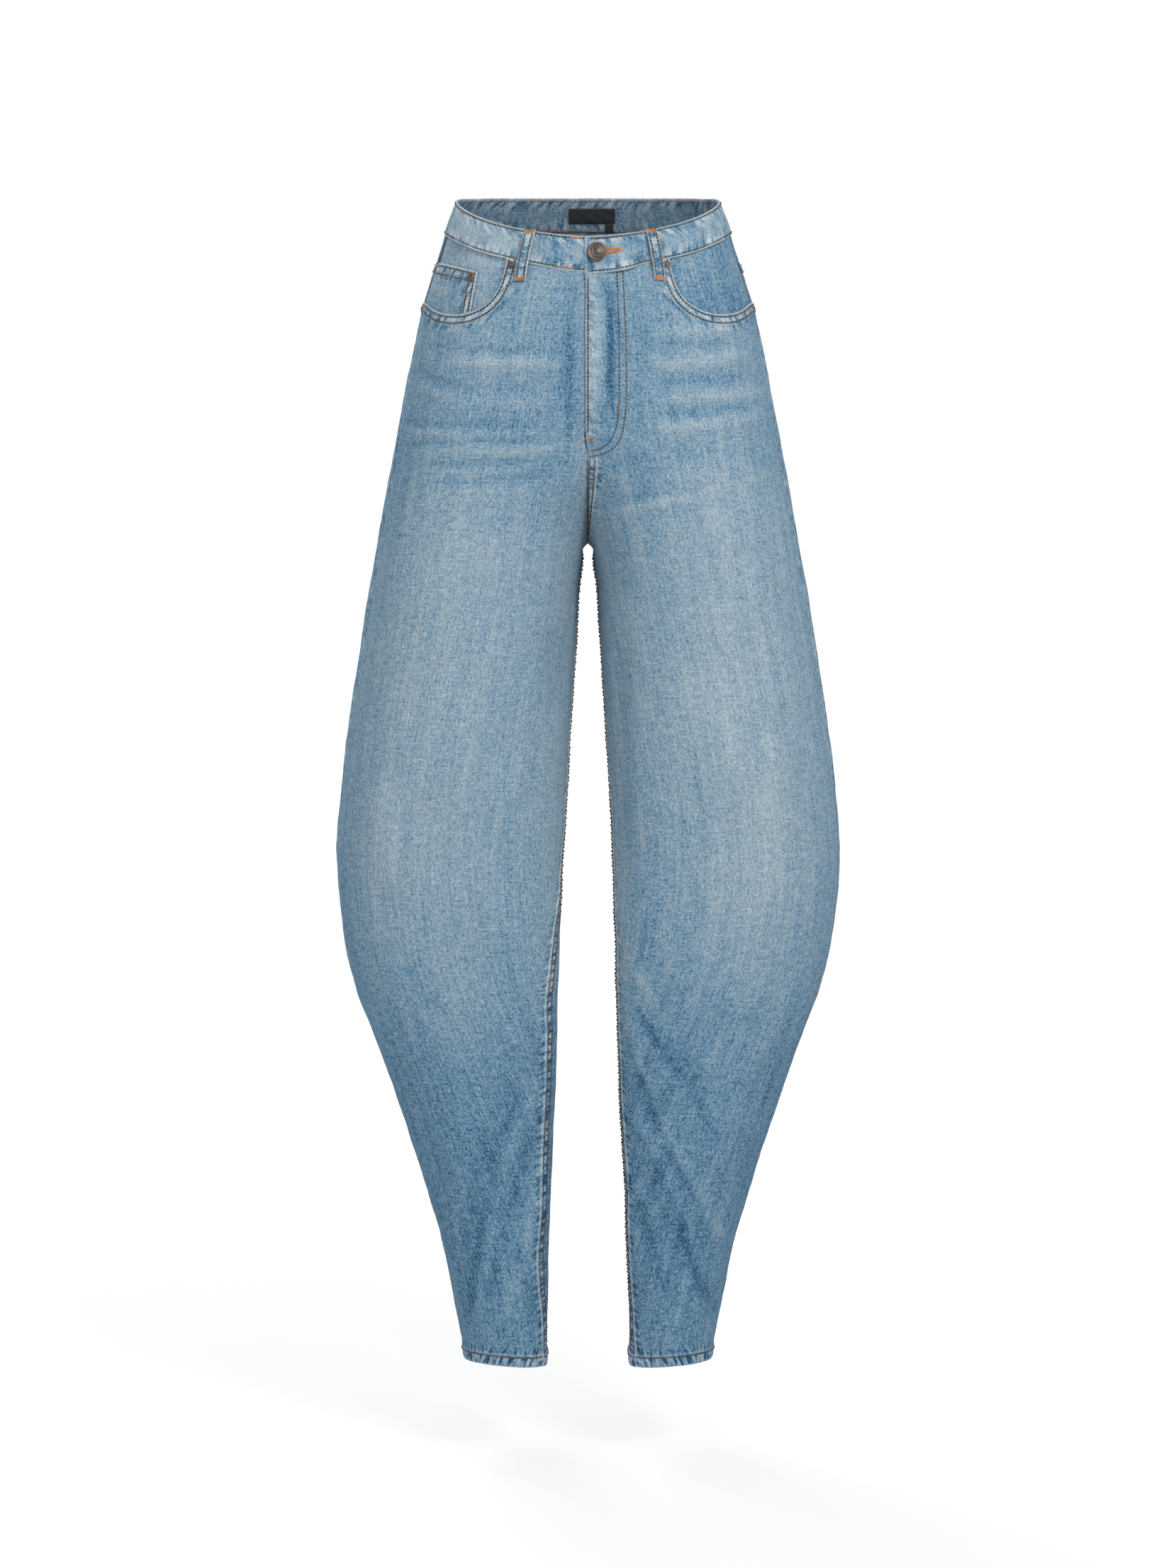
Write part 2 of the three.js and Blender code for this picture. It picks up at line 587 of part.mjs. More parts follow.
function bandStations() {
  const list = [];
  const under = [LAP_UNDER, 20, 10, 0];
  for (const x of under) list.push({ side: 'left', t: 0, shift: x });
  list.push({ side: 'right', t: 0, shift: 14 });
  for (const t of HALF_STATIONS) list.push({ side: 'right', t, shift: 0 });
  list.push({ side: 'left', t: 2, shift: 0 });
  const leftStations = HALF_STATIONS.filter((t) => t > 0.27).reverse();
  for (const t of leftStations) list.push({ side: 'left', t, shift: 0 });
  const lapped = [47, 43, 39, 35, 30, 20, 10, 0, -LAP_EDGE];
  for (const x of lapped) list.push({ side: 'left', t: 0, shift: x, lap: true });
  return list;
}

function bandEdges(place) {
  const along = place.t + place.shift / HALF_FRONT;
  const drop = place.lap ? LAP_DROP * lapPart('left', place.shift) : 0;
  return [waistTop(along) - drop * 0.4, waistSeam(along) - drop];
}

function bandGrid(stations, out, thick) {
  const outer = [];
  const inner = [];
  const last = BAND_ROWS.length - 1;
  BAND_ROWS.forEach((level, row) => {
    const rowOut = [];
    const rowIn = [];
    for (const place of stations) {
      const [top, low] = bandEdges(place);
      const lift = place.lap ? LAP_RAISE * lapPart('left', place.shift) : 0;
      const z = top + ((low - top) * level) / 100;
      const pinch = row === 0 || row === last ? 0.7 : 0;
      const point = shellPoint(place.side, place.t, z, place.shift);
      const normal = shellNormal(place.side, place.t, z, place.shift);
      rowOut.push(point.clone().addScaledVector(normal, out + lift - pinch));
      rowIn.push(point.clone().addScaledVector(normal, out - thick + lift + pinch));
    }
    outer.push(rowOut);
    inner.push(rowIn);
  });
  return gridSolid(outer, inner);
}

const stations = bandStations();
add('waistband', bandGrid(stations, BAND_OUT, BAND_THICK), denim());

// The bare patch and tab lie on the inside of the waistband at the back.
function insideTag(xLow, xHigh, zLow, zHigh, out, thick) {
  const near = stations.filter((place) => place.t > 1.3);
  const layer = solid(bandGrid(near, out, thick));
  const outline = [[xLow, zLow], [xHigh, zLow], [xHigh, zHigh], [xLow, zHigh]];
  return geometryOf(mainPart(layer.intersect(bar(outline, 20, 200))));
}
const BAND_INSIDE = BAND_OUT - BAND_THICK;
add('neck_patch', insideTag(-18, 25.5, -16.6, -3.2, BAND_INSIDE - 0.8, 1.0), woven());
add('size_tab', insideTag(16.5, 24, -25, -17, BAND_INSIDE - 0.8, 1.0), woven());

// The station t at which the shell reaches a given X at a level, on the front or the back.
function stationAt(side, x, z, back = false) {
  let low = back ? 2 : 0;
  let high = 1;
  for (let k = 0; k < 40; k += 1) {
    const mid = (low + high) / 2;
    if (Math.abs(shellPoint(side, mid, z).x) < Math.abs(x)) low = mid;
    else high = mid;
  }
  return (low + high) / 2;
}

// Belt loops. Each row: the part of the length from the lower end, and the height off the shell.
const LOOP_PROFILE = [
  [0, 0.5], [0.07, 0.8], [0.16, 2.2], [0.34, 3.6], [0.58, 3.8], [0.82, 2.9], [0.93, 1.8], [1, 1.5],
];

function beltLoop(side, xTop, xLow, back, raise) {
  const reach = (x, level) => {
    const t = stationAt(side, x, -45, back);
    return level === 'top' ? waistTop(t) + raise : waistSeam(t) - LOOP_TAIL;
  };
  const zTop = reach(xTop, 'top');
  const zLow = reach(xLow, 'low');
  const outer = [];
  const inner = [];
  for (const [part, height] of LOOP_PROFILE) {
    const z = zLow + (zTop - zLow) * part;
    const x = xLow + (xTop - xLow) * part;
    const t = Math.abs(x) < 0.5 ? 2 : stationAt(side, x, z, back);
    const centre = shellPoint(side, t, z);
    const normal = shellNormal(side, t, z);
    const across = new THREE.Vector3(0, 0, 1).cross(normal).normalize();
    const corner = (w, h) => centre.clone().addScaledVector(normal, h).addScaledVector(across, w);
    const half = LOOP_WIDTH / 2;
    outer.push([corner(-half, height + 0.9), corner(-half + 1.2, height + LOOP_CLOTH),
      corner(half - 1.2, height + LOOP_CLOTH), corner(half, height + 0.9)]);
    inner.push([corner(-half, height + 0.2), corner(-half + 1.2, height), corner(half - 1.2, height),
      corner(half, height + 0.2)]);
  }
  return gridSolid(outer, inner);
}
add('belt_loop_front_right', beltLoop('right', 51.6, 61, false, 0.2), denim());
add('belt_loop_front_left', beltLoop('left', 56.3, 64.5, false, 0.2), denim());
add('belt_loop_side_right', beltLoop('right', 112, 121, true, -2.2), denim());
add('belt_loop_side_left', beltLoop('left', 112, 121, true, -2.2), denim());
add('belt_loop_back', beltLoop('left', 0, 0, true, 0.2), denim());

// Turned metal pieces: a profile of radius and height off the cloth.
const BUTTON_PROFILE = [
  [0, 0], [3.6, 0], [3.6, 1.1], [7.9, 1.4], [BUTTON_RADIUS, 2.1], [BUTTON_RADIUS, 2.9], [7.7, 3.6],
  [6.9, 3.3], [5.9, 3.2], [5.2, 3.7], [2.6, 4.4], [0, 4.6],
];
const RIVET_PROFILE = [
  [0, 0], [RIVET_RADIUS, 0], [RIVET_RADIUS, 0.5], [2.7, 1.1], [1.9, 0.9], [1.5, 1.5], [0, 1.7],
];

function turned(profile, sides, centre, normal) {
  const geometry = new THREE.LatheGeometry(profile.map(([r, h]) => new THREE.Vector2(r, h)), sides);
  const turnTo = new THREE.Quaternion().setFromUnitVectors(new THREE.Vector3(0, 1, 0), normal);
  geometry.applyQuaternion(turnTo);
  geometry.translate(centre.x, centre.y, centre.z);
  const made = solid(geometry);
  return geometryOf(made);
}

function seat(side, t, z, height) {
  const centre = shellPoint(side, t, z);
  const normal = shellNormal(side, t, z);
  return [centre.addScaledVector(normal, height), normal];
}

const buttonSeat = seat('left', stationAt('left', 7.9, -51.8), -51.8, BAND_OUT + LAP_RAISE + GAP);
add('waist_button', turned(BUTTON_PROFILE, 24, ...buttonSeat), pewter());

const RIVETS = [
  ['rivet_mouth_inner_right', 'right', 69, -62.2, 0.35],
  ['rivet_mouth_inner_left', 'left', 70.5, -61.8, 0.35],
  ['rivet_mouth_outer_right', 'right', null, -99, 0.35],
  ['rivet_mouth_outer_left', 'left', null, -99, 0.35],
  ['rivet_coin_inner', 'right', 106.8, -72.4, -CLOTH + 0.1],
  ['rivet_coin_outer', 'right', null, -62, -CLOTH + 0.1],
];
for (const [name, side, x, z, height] of RIVETS) {
  const t = x === null ? 0.965 : stationAt(side, x, z);
  add(name, turned(RIVET_PROFILE, 14, ...seat(side, t, z, height)), pewter());
}

export default group;
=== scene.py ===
import math

import bpy
import numpy as np
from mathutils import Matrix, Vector, geometry
from mathutils.kdtree import KDTree


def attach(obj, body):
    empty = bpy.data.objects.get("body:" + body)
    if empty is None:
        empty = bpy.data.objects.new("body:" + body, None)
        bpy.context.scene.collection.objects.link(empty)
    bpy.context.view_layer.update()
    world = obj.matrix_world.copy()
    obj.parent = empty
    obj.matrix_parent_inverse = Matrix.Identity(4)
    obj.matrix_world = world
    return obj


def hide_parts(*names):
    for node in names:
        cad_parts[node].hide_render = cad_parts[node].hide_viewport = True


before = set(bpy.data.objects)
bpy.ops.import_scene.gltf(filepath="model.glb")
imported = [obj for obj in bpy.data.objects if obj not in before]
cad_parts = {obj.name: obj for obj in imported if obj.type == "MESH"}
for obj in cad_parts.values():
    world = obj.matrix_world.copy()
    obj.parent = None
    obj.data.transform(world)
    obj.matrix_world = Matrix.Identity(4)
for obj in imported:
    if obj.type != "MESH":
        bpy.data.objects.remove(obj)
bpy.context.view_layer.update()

# Sizes in millimetres. MM turns them into the scene's metres.
MM = 0.001
BAND_OUT = 1.0
BAND_THICK = 2.4
BAND_HIGH = 33.0
LAP_RAISE = 2.9
LAP_EDGE = 2.5
LAP_UNDER = 30.0
LAP_DROP = 2.0
HALF_FRONT = 190.0
FLY_RAISE = 2.4
FLY_UNDER = 7.0
FLY_FOOT_Z = -214.0
CROTCH_Z = -314.0
HEM_Z = -1075.0
HEM_HEIGHT = 10.5
HEM_RISE = 4.2
GAP = 0.3
TUCK = 2.5
SEAT_LAP = 0.9
# The levels at which the band's length is measured, in front and behind, and the level at which a
# place along the band is found from X
FRONT_LEVEL = -50.0
REAR_LEVEL = -30.0
BAND_LEVEL = -45.0
# Where the sewn part of the rise and the seat seam begin, and where the pocket's mouth meets the outseam
RISE_TOP = FLY_FOOT_Z - 20
SEAT_TOP = -20.0
MOUTH_END_Z = -96.0
# Distances from a lapped seam at which the mesh follows it, and how far a seam changes the cloth's tone, by
# wear and by painted shade
SEAM_LINES = (1.6, 4.2, 7.2, 8.2, 9.2)
SEAM_REACH = 20.0

# Level sections of one half, the same as the solids' own. seam is the Y of the outseam, wide and narrow
# are the Y of the outer and the inner end, and nf, nb and ni say how square the front, the back and the
# inner quarters are.
SECTION_NAMES = ("z", "outer", "inner", "front", "back", "seam", "wide", "narrow", "nf", "nb", "ni")
SECTION_ROWS = [
    (12, 115.5, -115.5, -74, 76, 6, 2, 2, 2.35, 2.3, 2.3),
    (0, 119.5, -119.5, -79, 81, 6, 2, 2, 2.35, 2.3, 2.3),
    (-22, 128, -128, -87.5, 91, 5, 3, 3, 2.4, 2.3, 2.3),
    (-48, 135.8, -135.8, -95, 102, 3, 5, 5, 2.45, 2.3, 2.3),
    (-74, 144.4, -144.4, -100, 111, 1, 8, 8, 2.5, 2.3, 2.3),
    (-99, 151.6, -151.6, -103.5, 118, -2, 10, 10, 2.55, 2.3, 2.3),
    (-130, 159, -141, -106, 125, -8, 13, 11, 2.6, 2.3, 2.3),
    (-164, 166.2, -118, -107.5, 131, -14, 16, 11, 2.6, 2.3, 2.3),
    (-190, 171.5, -95, -108, 133, -18, 18, 11, 2.6, 2.3, 2.3),
    (-216, 176.8, -72, -107.5, 133.5, -20, 20, 10, 2.6, 2.3, 2.3),
    (-240, 181, -48, -107, 132, -22, 21, 9, 2.55, 2.3, 2.3),
    (-260, 184.9, -30, -106.5, 129.5, -22, 22, 9, 2.5, 2.3, 2.3),
    (-280, 188.6, -14, -106, 126.5, -22, 22, 8, 2.5, 2.3, 2.3),
    (-297, 191.7, -5.8, -105.9, 123.8, -22, 22, 8, 2.5, 2.3, 2.3),
    (-314, 194.6, 0, -105.5, 121, -22, 22, 8, 2.5, 2.3, 2.3),
    (-331, 197.7, 4.6, -105, 118.3, -22, 22, 8, 2.5, 2.3, 2.3),
    (-352, 201.5, 8.2, -104.5, 114.5, -22, 22, 8, 2.45, 2.3, 2.3),
    (-385, 206.9, 10.1, -103.5, 109, -20, 21, 5, 2.4, 2.3, 2.3),
    (-451, 217.7, 15.1, -101.5, 101.5, -12, 17, -4, 2.3, 2.3, 2.3),
    (-517, 226.6, 19, -98, 96.5, -4, 12, -15, 2.2, 2.25, 2.3),
    (-583, 232.8, 23, -93.5, 93, 4, 8, -26, 2.1, 2.2, 2.3),
    (-600, 233.6, 23.8, -92, 92.5, 5, 7, -28.5, 2.1, 2.2, 2.3),
    (-616, 233, 24.4, -91, 92, 6, 7, -30.5, 2.1, 2.2, 2.3),
    (-649, 230.5, 25, -88.5, 90.5, 7, 7, -34, 2.1, 2.2, 2.3),
    (-682, 226.4, 26.4, -86, 89, 8, 7, -36.5, 2.1, 2.2, 2.3),
    (-715, 219.3, 27, -83.5, 87.5, 8, 7, -38, 2.1, 2.2, 2.3),
    (-732, 214.4, 27.7, -82, 86.5, 8, 7, -38, 2.1, 2.2, 2.3),
    (-765, 202, 28.4, -79, 85, 8, 7, -37.5, 2.1, 2.2, 2.25),
    (-832, 177.9, 30.4, -74, 81, 7, 6, -35.5, 2.1, 2.2, 2.2),
    (-899, 155.6, 33.8, -69.5, 77, 6, 6, -33.5, 2.1, 2.2, 2.2),
    (-966, 136.6, 36.1, -66, 73, 5, 5, -31.5, 2.1, 2.15, 2.2),
    (-1033, 122.9, 37.9, -63, 70, 4, 4, -30, 2.1, 2.1, 2.2),
    (-1067, 117, 38.5, -61.5, 69, 4, 4, -29.5, 2.1, 2.1, 2.2),
    (-1085, 114.5, 38.8, -61, 68.5, 4, 4, -29, 2.1, 2.1, 2.2),
]

# How far each inseam turns to the front, in arc length.
TURN_ROWS = [
    (12, 0, 0), (-500, 0, 0), (-583, 2, 0), (-604, 3, 0), (-637, 7, 0), (-670, 13.5, 0),
    (-702, 16.5, 0), (-735, 18.5, 0), (-768, 16, 0), (-801, 16, 0.5), (-834, 16, 3), (-899, 16, 5),
    (-965, 17.5, 5), (-998, 15.5, 7), (-1031, 9.5, 8.5), (-1064, 8, 11), (-1085, 8, 12),
]

# The waistband's top and bottom edges, by station: 0 centre front, 1 outseam, 2 centre back.
WAIST_ROWS = [
    (-0.3, -32, -61), (0, -36.4, -69), (0.1, -35.2, -67.5), (0.18, -33.8, -64.8), (0.3, -30.6, -60),
    (0.42, -25.8, -55), (0.54, -20, -49.3), (0.64, -14.5, -43.6), (0.78, -7, -36.6),
    (0.9, -2, -32.8), (1, 0.4, -31.3), (1.2, 2.6, -29), (1.5, 4.6, -27), (2, 5.2, -26), (2.3, 5, -26.4),
]

# The curved edge of the front pocket's mouth in X and Z. Its last point lies past the outseam.
SCOOP_ROWS = [
    (72.5, -52), (74, -62), (76.5, -72), (80, -82), (86.5, -92), (95.5, -99.3), (108, -104.4),
    (119, -105.8), (130.5, -104.6), (141, -100.3), (150, -93.2), (182, -84),
]
# The yoke's lower edge: its height at the middle and at a reach towards the side
YOKE_MIDDLE_Z = -87
YOKE_SIDE_Z = -66
YOKE_REACH = 150
POCKET_CORNERS = [(15, -121), (127, -113), (122, -232), (68, -254), (21, -240)]
# The coin pocket's inner corners in X and Z, how its top slopes, and how far the top reaches
COIN_TOP = (100, -67.2)
COIN_FOOT = (109.5, -117)
COIN_SLOPE = 0.2646
COIN_REACH = 139.5

# Creases: face, ends in X and Z, bow of the middle, half width, height. The first ones are the
# solids' own and the later ones are finer.
SOLID_CREASES = [
    (-1, -90, -852, -118, -988, 4, 8, -2.6), (-1, -66, -860, -104, -1030, 6, 7, -2.8),
    (-1, -72, -800, -92, -868, 0, 9, -2), (-1, -52, -830, -66, -884, 0, 7, -1.8),
    (-1, -40, -905, -62, -1020, 4, 8, 1.8), (-1, 42, -716, 104, -820, -8, 8, -2.6),
    (-1, 46, -796, 62, -850, 0, 8, -2), (-1, 50, -878, 88, -992, 4, 8, -2.8),
    (-1, 69, -880, 112, -960, 4, 8, -2.4), (-1, 100, -930, 116, -982, 0, 7, -2),
    (-1, -29, -385, -26, -470, 0, 12, -2.5), (-1, 30, -385, 32, -640, 0, 11, -2.5),
    (-1, -184, -520, -176, -640, 6, 16, 3), (-1, 164, -480, 162, -570, 0, 16, 2.5),
    (-1, -118, -150, -34, -154, 0, 9, 1), (-1, -138, -222, -46, -228, 0, 10, 1.2),
    (-1, 55, -209, 154, -196, 0, 10, 1.2), (-1, 55, -257, 158, -249, 0, 10, 1.2),
    (1, -152, -268, -30, -300, 0, 9, -2.6), (1, 28, -296, 146, -272, 0, 9, -2.8),
    (1, -150, -330, -60, -352, 0, 10, -2), (1, 50, -348, 158, -322, 0, 10, -2.2),
    (1, -206, -596, -110, -636, 0, 10, -2.4), (1, 96, -640, 204, -600, 0, 10, -2.6),
    (1, -196, -684, -90, -676, 0, 9, -2), (1, 88, -690, 190, -668, 0, 9, -2.2),
    (1, -104, -860, -76, -1000, 5, 8, -2.4), (1, 72, -852, 100, -984, -5, 8, -2.6),
]
FINE_CREASES = [
    (-1, 19, -84, 20, -182, -1.5, 3.4, -1.5), (-1, 9, -92, 8, -186, 1.5, 4.2, 1.0),
    (-1, 14.5, -84, 15, -160, -1, 1.8, 0.5), (-1, 4, -188, 12, -194, 0, 2.4, 0.6),
    (-1, 3, -198, 12, -201, 0, 2.2, 0.6), (-1, 4, -206, 11, -208, 0, 2.0, 0.5),
    (-1, 11, -188, 17, -206, 1, 2.4, -0.7), (-1, -19, -110, -16, -212, 2, 7, -1.1),
    (-1, -9, -95, -7, -170, 0, 4, 0.5), (-1, 40, -92, 38, -150, 0, 7, -0.5),
    (-1, -24, -88, -10, -80, 0, 3, -0.6), (-1, 8, -80, 26, -90, 0, 3, -0.7),
    # right hip
    (-1, -145, -133, -33, -138, 2, 4, -0.8), (-1, -145, -148, -26, -150, 1, 5, 1.1),
    (-1, -162, -153, -106, -173, 2, 4, -0.9), (-1, -112, -173, -46, -173, 1, 4, -0.6),
    (-1, -165, -166, -99, -187, 2, 4, 0.8), (-1, -104, -187, -33, -185, 1, 4, 0.7),
    (-1, -172, -203, -53, -206, 2, 4.5, -0.9), (-1, -165, -211, -46, -214, 1, 4, 0.8),
    (-1, -172, -224, -29, -219, -2, 4, -0.9), (-1, -110, -231, -26, -227, 1, 4, 0.9),
    (-1, -162, -240, -29, -236, 2, 4, -0.7), (-1, -145, -247, -33, -244, 1, 4, 0.7),
    (-1, -152, -257, -29, -252, 2, 4, -0.8), (-1, -119, -265, -39, -263, 1, 5, 0.5),
    # left hip
    (-1, 60, -121, 139, -118, 1, 5, 1.1), (-1, 60, -134, 133, -132, 1, 4, -0.8),
    (-1, 58, -152, 143, -140, 2, 5, 1.2), (-1, 60, -166, 153, -160, 2, 4.5, -0.9),
    (-1, 60, -183, 166, -173, 2, 5, 1.1), (-1, 63, -196, 156, -186, 3, 4.5, -0.9),
    (-1, 60, -208, 122, -206, 0, 5, 1.1), (-1, 116, -206, 163, -193, 1, 5, 1.0),
    (-1, 20, -275, 90, -263, 1, 4, -0.7), (-1, 86, -263, 153, -249, 1, 4, -0.8),
    (-1, 20, -284, 100, -266, 1, 5, 1.0), (-1, 96, -266, 169, -247, 1, 5, 0.9),
    # lower right leg
    (-1, -59, -811, -92, -901, 3, 5, -1.3), (-1, -90, -896, -113, -1040, 2, 5, -1.6),
    (-1, -41, -801, -70, -876, 2, 6, 1.0), (-1, -66, -855, -87, -927, 1, 5, 1.1),
    (-1, -86, -922, -104, -1030, 1, 5, 1.2), (-1, -48, -852, -73, -934, 2, 4.5, -1.2),
    (-1, -72, -930, -94, -1015, 1, 4.5, -1.1), (-1, -43, -881, -59, -967, 1, 6, 1.0),
    (-1, -58, -962, -80, -1036, 1, 5, 0.8), (-1, -168, -690, -130, -742, 4, 7, -0.8),
    # lower left leg
    (-1, 38, -694, 92, -776, 3, 6, 1.4), (-1, 39, -729, 98, -814, 3, 5, -1.6),
    (-1, 94, -808, 117, -864, 1, 6, -0.9), (-1, 37, -748, 64, -830, 2, 5, 1.1),
    (-1, 62, -826, 101, -903, 2, 5, 1.2), (-1, 98, -899, 127, -956, 1, 5, 1.3),
    (-1, 46, -795, 71, -863, 2, 4.5, -1.0), (-1, 69, -859, 111, -929, 2, 4.5, -1.3),
    (-1, 43, -828, 67, -890, 1, 5, 0.9), (-1, 66, -886, 101, -949, 1, 5, 1.0),
    (-1, 49, -854, 81, -923, 2, 4.5, -1.2), (-1, 79, -918, 119, -1028, 3, 5.5, -1.9),
    (-1, 52, -900, 87, -995, 2, 5, 0.9), (-1, 46, -913, 73, -1008, 2, 5, -1.0),
    (-1, 39, -927, 47, -982, 0, 5, 0.9), (-1, 118, -742, 168, -752, 0, 7, -0.8),
    (-1, -14, -238, -60, -252, 0, 6, -0.8), (-1, 12, -240, 62, -236, 0, 6, -0.8),
    (1, -120, -366, -66, -380, 0, 7, -1.2), (1, 62, -372, 130, -360, 0, 7, -1.2),
    (1, -170, -640, -96, -656, 2, 6, -1.2), (1, 104, -654, 176, -640, 2, 6, -1.3),
    (1, -118, -740, -70, -770, 3, 7, -1.2), (1, 66, -764, 124, -742, 3, 7, -1.1),
    (1, -92, -880, -60, -940, 4, 6, -1.3), (1, 58, -900, 92, -958, -4, 6, -1.3),
    (1, -112, -1000, -92, -1050, 0, 5, -1.0), (1, 66, -1000, 88, -1052, 0, 5, -1.0),
    (1, -34, -262, -10, -300, 0, 6, -1.2), (1, 10, -300, 36, -262, 0, 6, -1.2),
]

# How washed out the cloth is: by height, on the front and on the back.
WEAR_LEVELS = [
    (12, 0.62, 0.60), (-60, 0.60, 0.60), (-120, 0.41, 0.60), (-190, 0.40, 0.64), (-250, 0.47, 0.62),
    (-330, 0.63, 0.56), (-450, 0.66, 0.50), (-560, 0.60, 0.44), (-640, 0.52, 0.38), (-700, 0.40, 0.30),
    (-760, 0.20, 0.18), (-820, 0.04, 0.05), (-1000, 0.00, 0.02), (-1060, 0.07, 0.08), (-1085, 0.10, 0.10),
]
# What is added across a leg, from -1 at its inner edge to 1 at its outer edge: right front, left front and
# back. Part of it is wash, paler over the thigh's middle. Part of it is painted light and shade: the fronts'
# inner edges, where the legs shade each other, are painted lighter, and the outer edges and the back's
# edges, which turn away from the light, are painted darker as shade.
FADE_AND_SHADE_ACROSS = [
    (-1, 0.30, 0.40, -0.24), (-0.8, 0.10, 0.02, -0.16), (-0.5, 0.03, -0.01, 0.00),
    (-0.1, 0.13, 0.14, 0.12), (0.3, 0.17, 0.26, 0.14), (0.65, 0.05, 0.14, 0.04),
    (0.88, -0.18, -0.04, -0.14), (1, -0.34, -0.16, -0.25),
]
# The share of that by height
FADE_AND_SHADE_ACROSS_PART = [
    (12, 0.1), (-110, 0.35), (-200, 0.75), (-300, 1.0), (-640, 1.0), (-780, 0.4), (-1085, 0.25),
]

# Single lighter and darker areas: face, middle in X and Z, reach in X and Z, amount. Some are wash. Those at
# the fly are painted: a painted highlight on its raised ridge, and painted shade in the fold beside it, left
# of its edge and in the crumples at the zip's foot.
FADE_AND_SHADE_SPOTS = [
    (-1, 7, -128, 8, 46, 0.34), (-1, 20.5, -136, 5, 58, -0.55), (-1, -16, -140, 7, 74, -0.44),
    (-1, -130, -98, 30, 9, -0.20), (-1, 106, -86, 26, 15, -0.22),
    (-1, 20, -184, 8, 16, -0.30), (-1, -112, -729, 30, 46, 0.16), (-1, 52, -672, 12, 32, -0.22),
    (-1, 46, -190, 16, 70, -0.10), (-1, -6, -82, 20, 12, -0.20), (-1, 22, -88, 12, 14, -0.22),
    (-1, 8, -202, 7, 12, -0.26), (-1, -100, -130, 40, 16, 0.10), (-1, 112, -140, 40, 18, 0.12),
    (-1, -112, -196, 40, 11, -0.14), (-1, 104, -184, 46, 8, -0.10), (-1, 96, -232, 50, 9, -0.10),
    (-1, -84, -240, 44, 9, -0.12), (-1, -60, -205, 30, 14, -0.08), (-1, -70, -290, 34, 9, -0.06),
    (1, -70, -185, 52, 60, 0.16), (1, 70, -185, 52, 60, 0.16),
    (-1, -128, -610, 40, 60, 0.10), (-1, 132, -610, 44, 62, 0.20), (-1, 122, -460, 46, 62, 0.14),
    (-1, -112, -310, 42, 50, 0.13), (-1, -96, -55, 34, 8, 0.34),
]
# Whiskers: face, ends in X and Z, half width, amount.
WHISKERS = [
    (-1, -118, -149, -30, -150, 6, 0.10), (-1, -138, -229, -44, -228, 8, 0.08),
    (-1, 62, -121, 130, -119, 7, 0.08), (-1, 58, -150, 130, -143, 8, 0.10),
    (-1, 62, -183, 150, -176, 8, 0.10), (-1, 60, -208, 118, -206, 8, 0.10),
    (-1, 22, -284, 95, -267, 7, 0.10),
    (1, -150, -280, -40, -318, 8, 0.14), (1, 40, -316, 150, -284, 8, 0.14),
    (1, -190, -612, -90, -650, 7, 0.12), (1, 92, -652, 192, -614, 7, 0.12),
    (1, -176, -660, -84, -664, 6, 0.12), (1, 86, -676, 180, -652, 6, 0.12),
]


def smooth(rows, column):
    """A smooth curve through one column of a table that never overshoots."""
    order = sorted(rows)
    xs = np.array([row[0] for row in order], float)
    ys = np.array([row[column] for row in order], float)
    step = np.diff(xs)
    rise = np.diff(ys) / step
    slope = np.zeros(len(xs))
    slope[0], slope[-1] = rise[0], rise[-1]
    a = 2 * step[1:] + step[:-1]
    b = step[1:] + 2 * step[:-1]
    same = rise[:-1] * rise[1:] > 0
    safe = np.where(same, rise[:-1], 1.0), np.where(same, rise[1:], 1.0)
    slope[1:-1] = np.where(same, (a + b) / (a / safe[0] + b / safe[1]), 0.0)

    def at(x):
        x = np.asarray(x, float)
        i = np.clip(np.searchsorted(xs, x) - 1, 0, len(step) - 1)
        h = step[i]
        u = np.clip((x - xs[i]) / h, 0, 1)
        v = 1 - u
        return (
            ys[i] * (1 + 2 * u) * v * v
            + slope[i] * h * u * v * v
            + ys[i + 1] * u * u * (3 - 2 * u)
            - slope[i + 1] * h * u * u * v
        )

    return at


section = {name: smooth(SECTION_ROWS, k) for k, name in enumerate(SECTION_NAMES) if k}
turn = {"right": smooth(TURN_ROWS, 1), "left": smooth(TURN_ROWS, 2)}
waist_top = smooth(WAIST_ROWS, 1)
waist_seam = smooth(WAIST_ROWS, 2)


def ease(u):
    v = np.clip(u, 0, 1)
    return v * v * (3 - 2 * v)


def ridge(distance, middle, wide):
    """1 at the middle, falling off softly to both sides."""
    return np.exp(-(((distance - middle) / wide) ** 2))


def keep_apart(x, z):
    """Under the crotch the legs stand apart, so that the gap between them has a flat top."""
    if z >= CROTCH_Z:
        return x
    part = 1 - math.exp((z - CROTCH_Z) / 2.2)
    half, soft = 5.6 * part, 1.4 * part
    return (x + half + np.hypot(x - half, soft)) / 2


def running_length(line):
    """The length from the start of a chain of points to each of them."""
    return np.concatenate([[0], np.cumsum(np.hypot(*np.diff(line, axis=0).T))])


# Steps on each quarter of a section
QUARTER = 90


